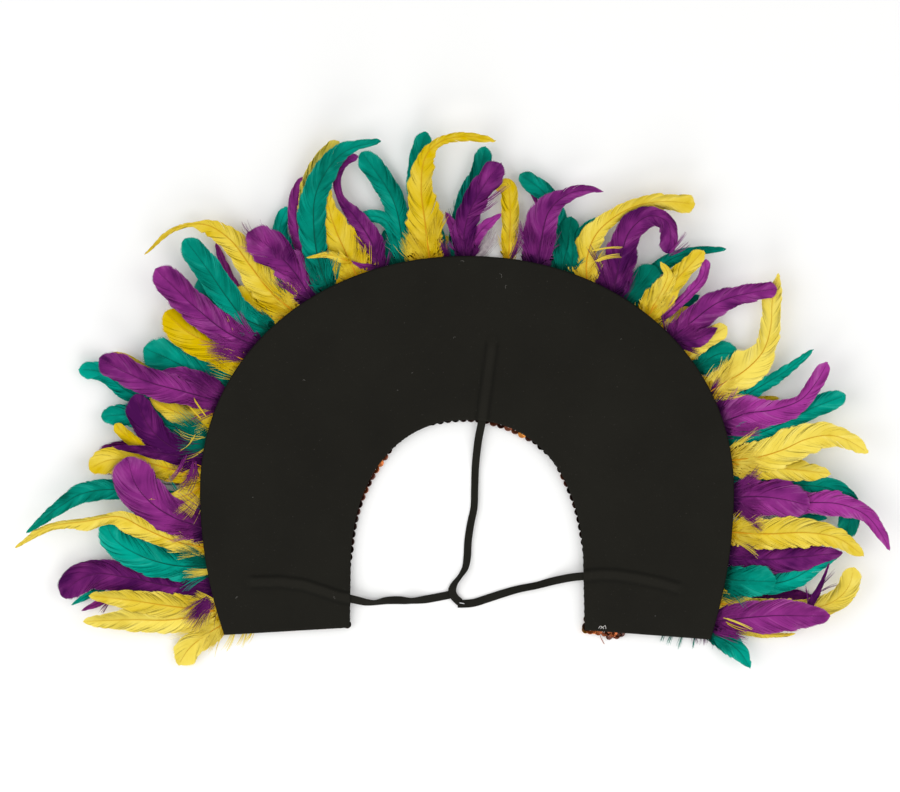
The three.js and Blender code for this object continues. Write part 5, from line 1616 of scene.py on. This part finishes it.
WISPS = [Wisp(*row) for row in [
    ("yellow", 6.3, 39, 0.17, 0.5, (-190, 94), (-202, 83), 1, 4),
    ("purple", 6.3, 36, 0.18, 0.4, (-191, 119), (-199, 99), 4, 2.5),
    ("purple", 6.3, 12, 0.18, 0.4, (-197, 124), (-209, 106), 3, 1.5),
    ("purple", 5, 90, 0.14, 0.3, (-180, 22), (-196, 6), -2, 5),
    ("purple", 5, 39, 0.14, 0.2, (-182, 24), (-193, 12), 2, 3),
    ("green", 5.3, 75, 0.14, 0, (-182, 50), (-204, 59), 0, 3.5),
    ("yellow", 5.3, 45, 0.14, 0.7, (-180, 44), (-198, 43), 1, 1.6),
    ("yellow", 3.6, 36, 0.14, 0.8, (-179, 8), (-209, -2), 2, 2),
    ("yellow", 3.2, 36, 0.14, 0.8, (-174, 6), (-183, -12), 1, 3),
    ("yellow", 1, 12, 0.19, 0.9, (-163, 2), (-169, -12), 1, 1.5),
    ("yellow", 1, 10, 0.19, 0.9, (-156, 2), (-161, -9), 1, 1.5),
    ("yellow", 1, 8, 0.19, 0.9, (-150, 2), (-155, -6), 1, 1.5),
    ("yellow", 6.8, 4, 0.27, 0.2, (-183, 152), (-191, 164), 0, 0.7),
    ("yellow", 6.8, 4, 0.27, 0.2, (-186, 150), (-194, 159), 0, 0.7),
    ("yellow", 6.4, 4, 0.16, 0.4, (-182, 137), (-204, 143), 5, 1.2),
    ("yellow", 6.4, 3, 0.16, 0.4, (-191, 139), (-201, 128), 3, 0.8),
    ("yellow", 6.4, 3, 0.14, 0.4, (-183, 130), (-197, 122), 2, 0.8),
    ("green", 5.7, 135, 0.16, 0.05, (-181, 137), (-206, 151), 1, 5),
    ("green", 5.6, 60, 0.16, 0.1, (-181, 132), (-202, 130), 2, 4),
    ("yellow", 5.9, 30, 0.16, 0.1, (-179, 146), (-190, 141), 0, 2.5),
    ("purple", 5.8, 90, 0.16, 0.3, (-171, 168), (-190, 178), 2, 4.5),
    ("yellow", 5.3, 60, 0.16, 0.2, (-162, 182), (-178, 193), 1, 4),
    ("purple", 5.6, 105, 0.17, 0.4, (-156, 193), (-181, 198), -2, 3),
    ("purple", 5.7, 6, 0.18, 0.4, (-160, 201), (-187, 203), -2, 1.2),
    ("yellow", 4.5, 105, 0.14, 0.3, (-120, 229), (-122, 246), 2, 4.5),
    ("green", 4, 60, 0.14, 0, (-122, 234), (-133, 254), 1, 3),
    ("purple", 5, 12, 0.19, 0.3, (-112, 236), (-123, 234), 1, 3),
    ("purple", 5.4, 8, 0.16, 0.3, (-147, 277), (-157, 287), 3, 2),
    ("purple", 5.2, 60, 0.14, 0.6, (-142, 270), (-153, 279), 1, 5),
    ("purple", 5.2, 50, 0.14, 0.4, (-130, 262), (-127, 274), 1, 6),
    ("green", 6.8, 10, 0.3, 0.4, (-97, 249), (-94, 262), 1, 1.5),
    ("green", 6.8, 8, 0.3, 0.4, (-109, 244), (-96, 247), -4, 1),
    ("purple", 2.2, 45, 0.14, 0.1, (-45, 260), (-48, 275), 1, 2.5),
    ("yellow", 5.7, 75, 0.14, 0.3, (-35, 262), (-44, 277), 2, 3),
    ("purple", 5.2, 45, 0.14, 0.2, (-13, 261), (-18, 276), 1, 2.5),
    ("purple", 6.2, 8, 0.24, 0.3, (4, 297), (28, 313), -2, 1),
    ("purple", 6.2, 10, 0.24, 0.3, (2, 292), (20, 303), -2, 1.5),
    ("green", 4, 6, 0.21, 0.2, (-6, 280), (-9, 303), 0, 0.8),
    ("green", 4, 6, 0.21, 0.2, (-8, 282), (-13, 297), 0, 0.8),
    ("undyed", 3, 105, 0.15, 0.5, (7, 263), (19, 284), -2, 4),
    ("undyed", 1.5, 39, 0.12, 0.5, (-46, 270), (-52, 285), 2, 4),
    ("undyed", 3, 39, 0.14, 0.8, (143, 205), (150, 219), 2, 3),
    ("purple", 5.9, 90, 0.14, 0.3, (45, 266), (38, 289), 2, 4),
    ("purple", 4.6, 16, 0.19, 0.2, (31, 264), (38, 284), -2, 2),
    ("yellow", 6.6, 6, 0.3, 0.6, (89, 268), (108, 270), 2, 1),
    ("yellow", 6.6, 6, 0.3, 0.6, (90, 261), (107, 265), 2, 1),
    ("purple", 6, 8, 0.21, 0.2, (94, 253), (85, 270), -1, 1.5),
    ("purple", 6, 6, 0.2, 0.4, (141, 266), (152, 280), -1, 0.8),
    ("purple", 6, 8, 0.18, 0.4, (142, 265), (155, 274), -1, 1.2),
    ("purple", 6.8, 6, 0.21, 0.4, (140, 208), (137, 225), 1, 0.8),
    ("purple", 6.8, 12, 0.19, 0.4, (142, 206), (139, 217), -5, 1.5),
    ("green", 3.4, 60, 0.16, 0, (157, 184), (168, 193), 1, 4),
    ("purple", 6.2, 30, 0.18, 0.5, (170, 165), (177, 179), 1, 1.5),
    ("purple", 6.4, 14, 0.19, 0.5, (173, 158), (182, 169), 1, 1.5),
    ("purple", 6.3, 60, 0.18, 0.4, (192, 90), (207, 73), -2, 2.5),
    ("yellow", 6.2, 60, 0.16, 0.2, (186, 71), (196, 82), 2, 3),
    ("yellow", 6.8, 4, 0.3, 0.8, (181, 11), (199, 4), 1, 0.8),
    ("yellow", 6.8, 3, 0.27, 0.2, (181, 8), (195, 3), -1, 0.8),
    ("yellow", 4.7, 30, 0.16, 0, (176, 24), (184, 34), 1, 3),
    ("green", 4.8, 36, 0.16, 0, (178, 27), (194, 24), 1, 3),
    ("purple", 4.7, 4, 0.18, 0.1, (246, 33), (257, 44), 0, 0.8),
    ("purple", 4.7, 4, 0.18, 0.1, (247, 30), (259, 35), 1, 0.8),
    ("purple", 5.4, 36, 0.16, 0.2, (170, 3), (189, -4), 1, 2),
    ("green", 1, 7, 0.18, 0.6, (139, 2), (136, -6), 0, 0.8),
    ("green", 1, 7, 0.18, 0.6, (145, 2), (141, -8), 0, 0.8),
    ("green", 1, 9, 0.18, 0.6, (152, 2), (148, -11), 0, 0.8),
    ("green", 1, 7, 0.2, 0.6, (160, 1), (158, -11), 0, 0.6),
    ("purple", 1, 10, 0.16, 0.4, (159, 1), (162, -7), 0, 3),
    ("purple", 1, 12, 0.16, 0.4, (167, 1), (168, -8), 0, 3),
    ("purple", 1, 14, 0.16, 0.4, (173, 0), (176, -9), 0, 3.5),
]]
print(sum(w.count for w in WISPS), "barbs in", len(WISPS), "wisps")

# %% Wisps
WISP_RISE = 0.8

undyed = Finish("undyed down", Roughness=0.8)
undyed.feed("Base Color", undyed.blend(undyed.noise(400), srgb(120, 104, 116), srgb(206, 196, 196)))
dyed["undyed"] = [undyed.material, undyed.material]
small["undyed"] = Heap()


def add_wisp(heap, wisp, chance):
    """The barbs of one wisp, which vary in where they start, how far they reach and how they bend."""
    start, end = np.array(wisp.start, float), np.array(wisp.end, float)
    run = end - start
    aside = np.array([-run[1], run[0]]) / np.linalg.norm(run)
    lane = chance.normal(0, 1, wisp.count)
    later = chance.uniform(-0.1, 0.15, wisp.count)
    starts = start + aside * (lane * wisp.spread * 0.45)[:, None] + run * later[:, None]
    shorter = chance.uniform(-0.08, 0.5 if wisp.count > 12 else 0.15, wisp.count)
    ends = end + aside * (lane * wisp.spread)[:, None] - run * shorter[:, None]
    bent = aside * (wisp.bend * chance.normal(1, 0.15, wisp.count))[:, None]
    middles = (starts + ends) / 2 + bent
    strands(heap, starts, middles, ends, wisp.layer, wisp.tint, chance, (0, 1), wisp.thin, WISP_RISE)


for number, wisp in enumerate(WISPS):
    add_wisp(small[wisp.dye], wisp, np.random.default_rng(2000 + number))
for dye, heap in small.items():
    slot = "purple_feather" if dye == "undyed" else f"{dye}_feather"
    made = heap.make(f"small_feathers_{dye}", dyed[dye], slot=slot)
    print(f"small_feathers_{dye}", len(made.data.polygons), "faces")
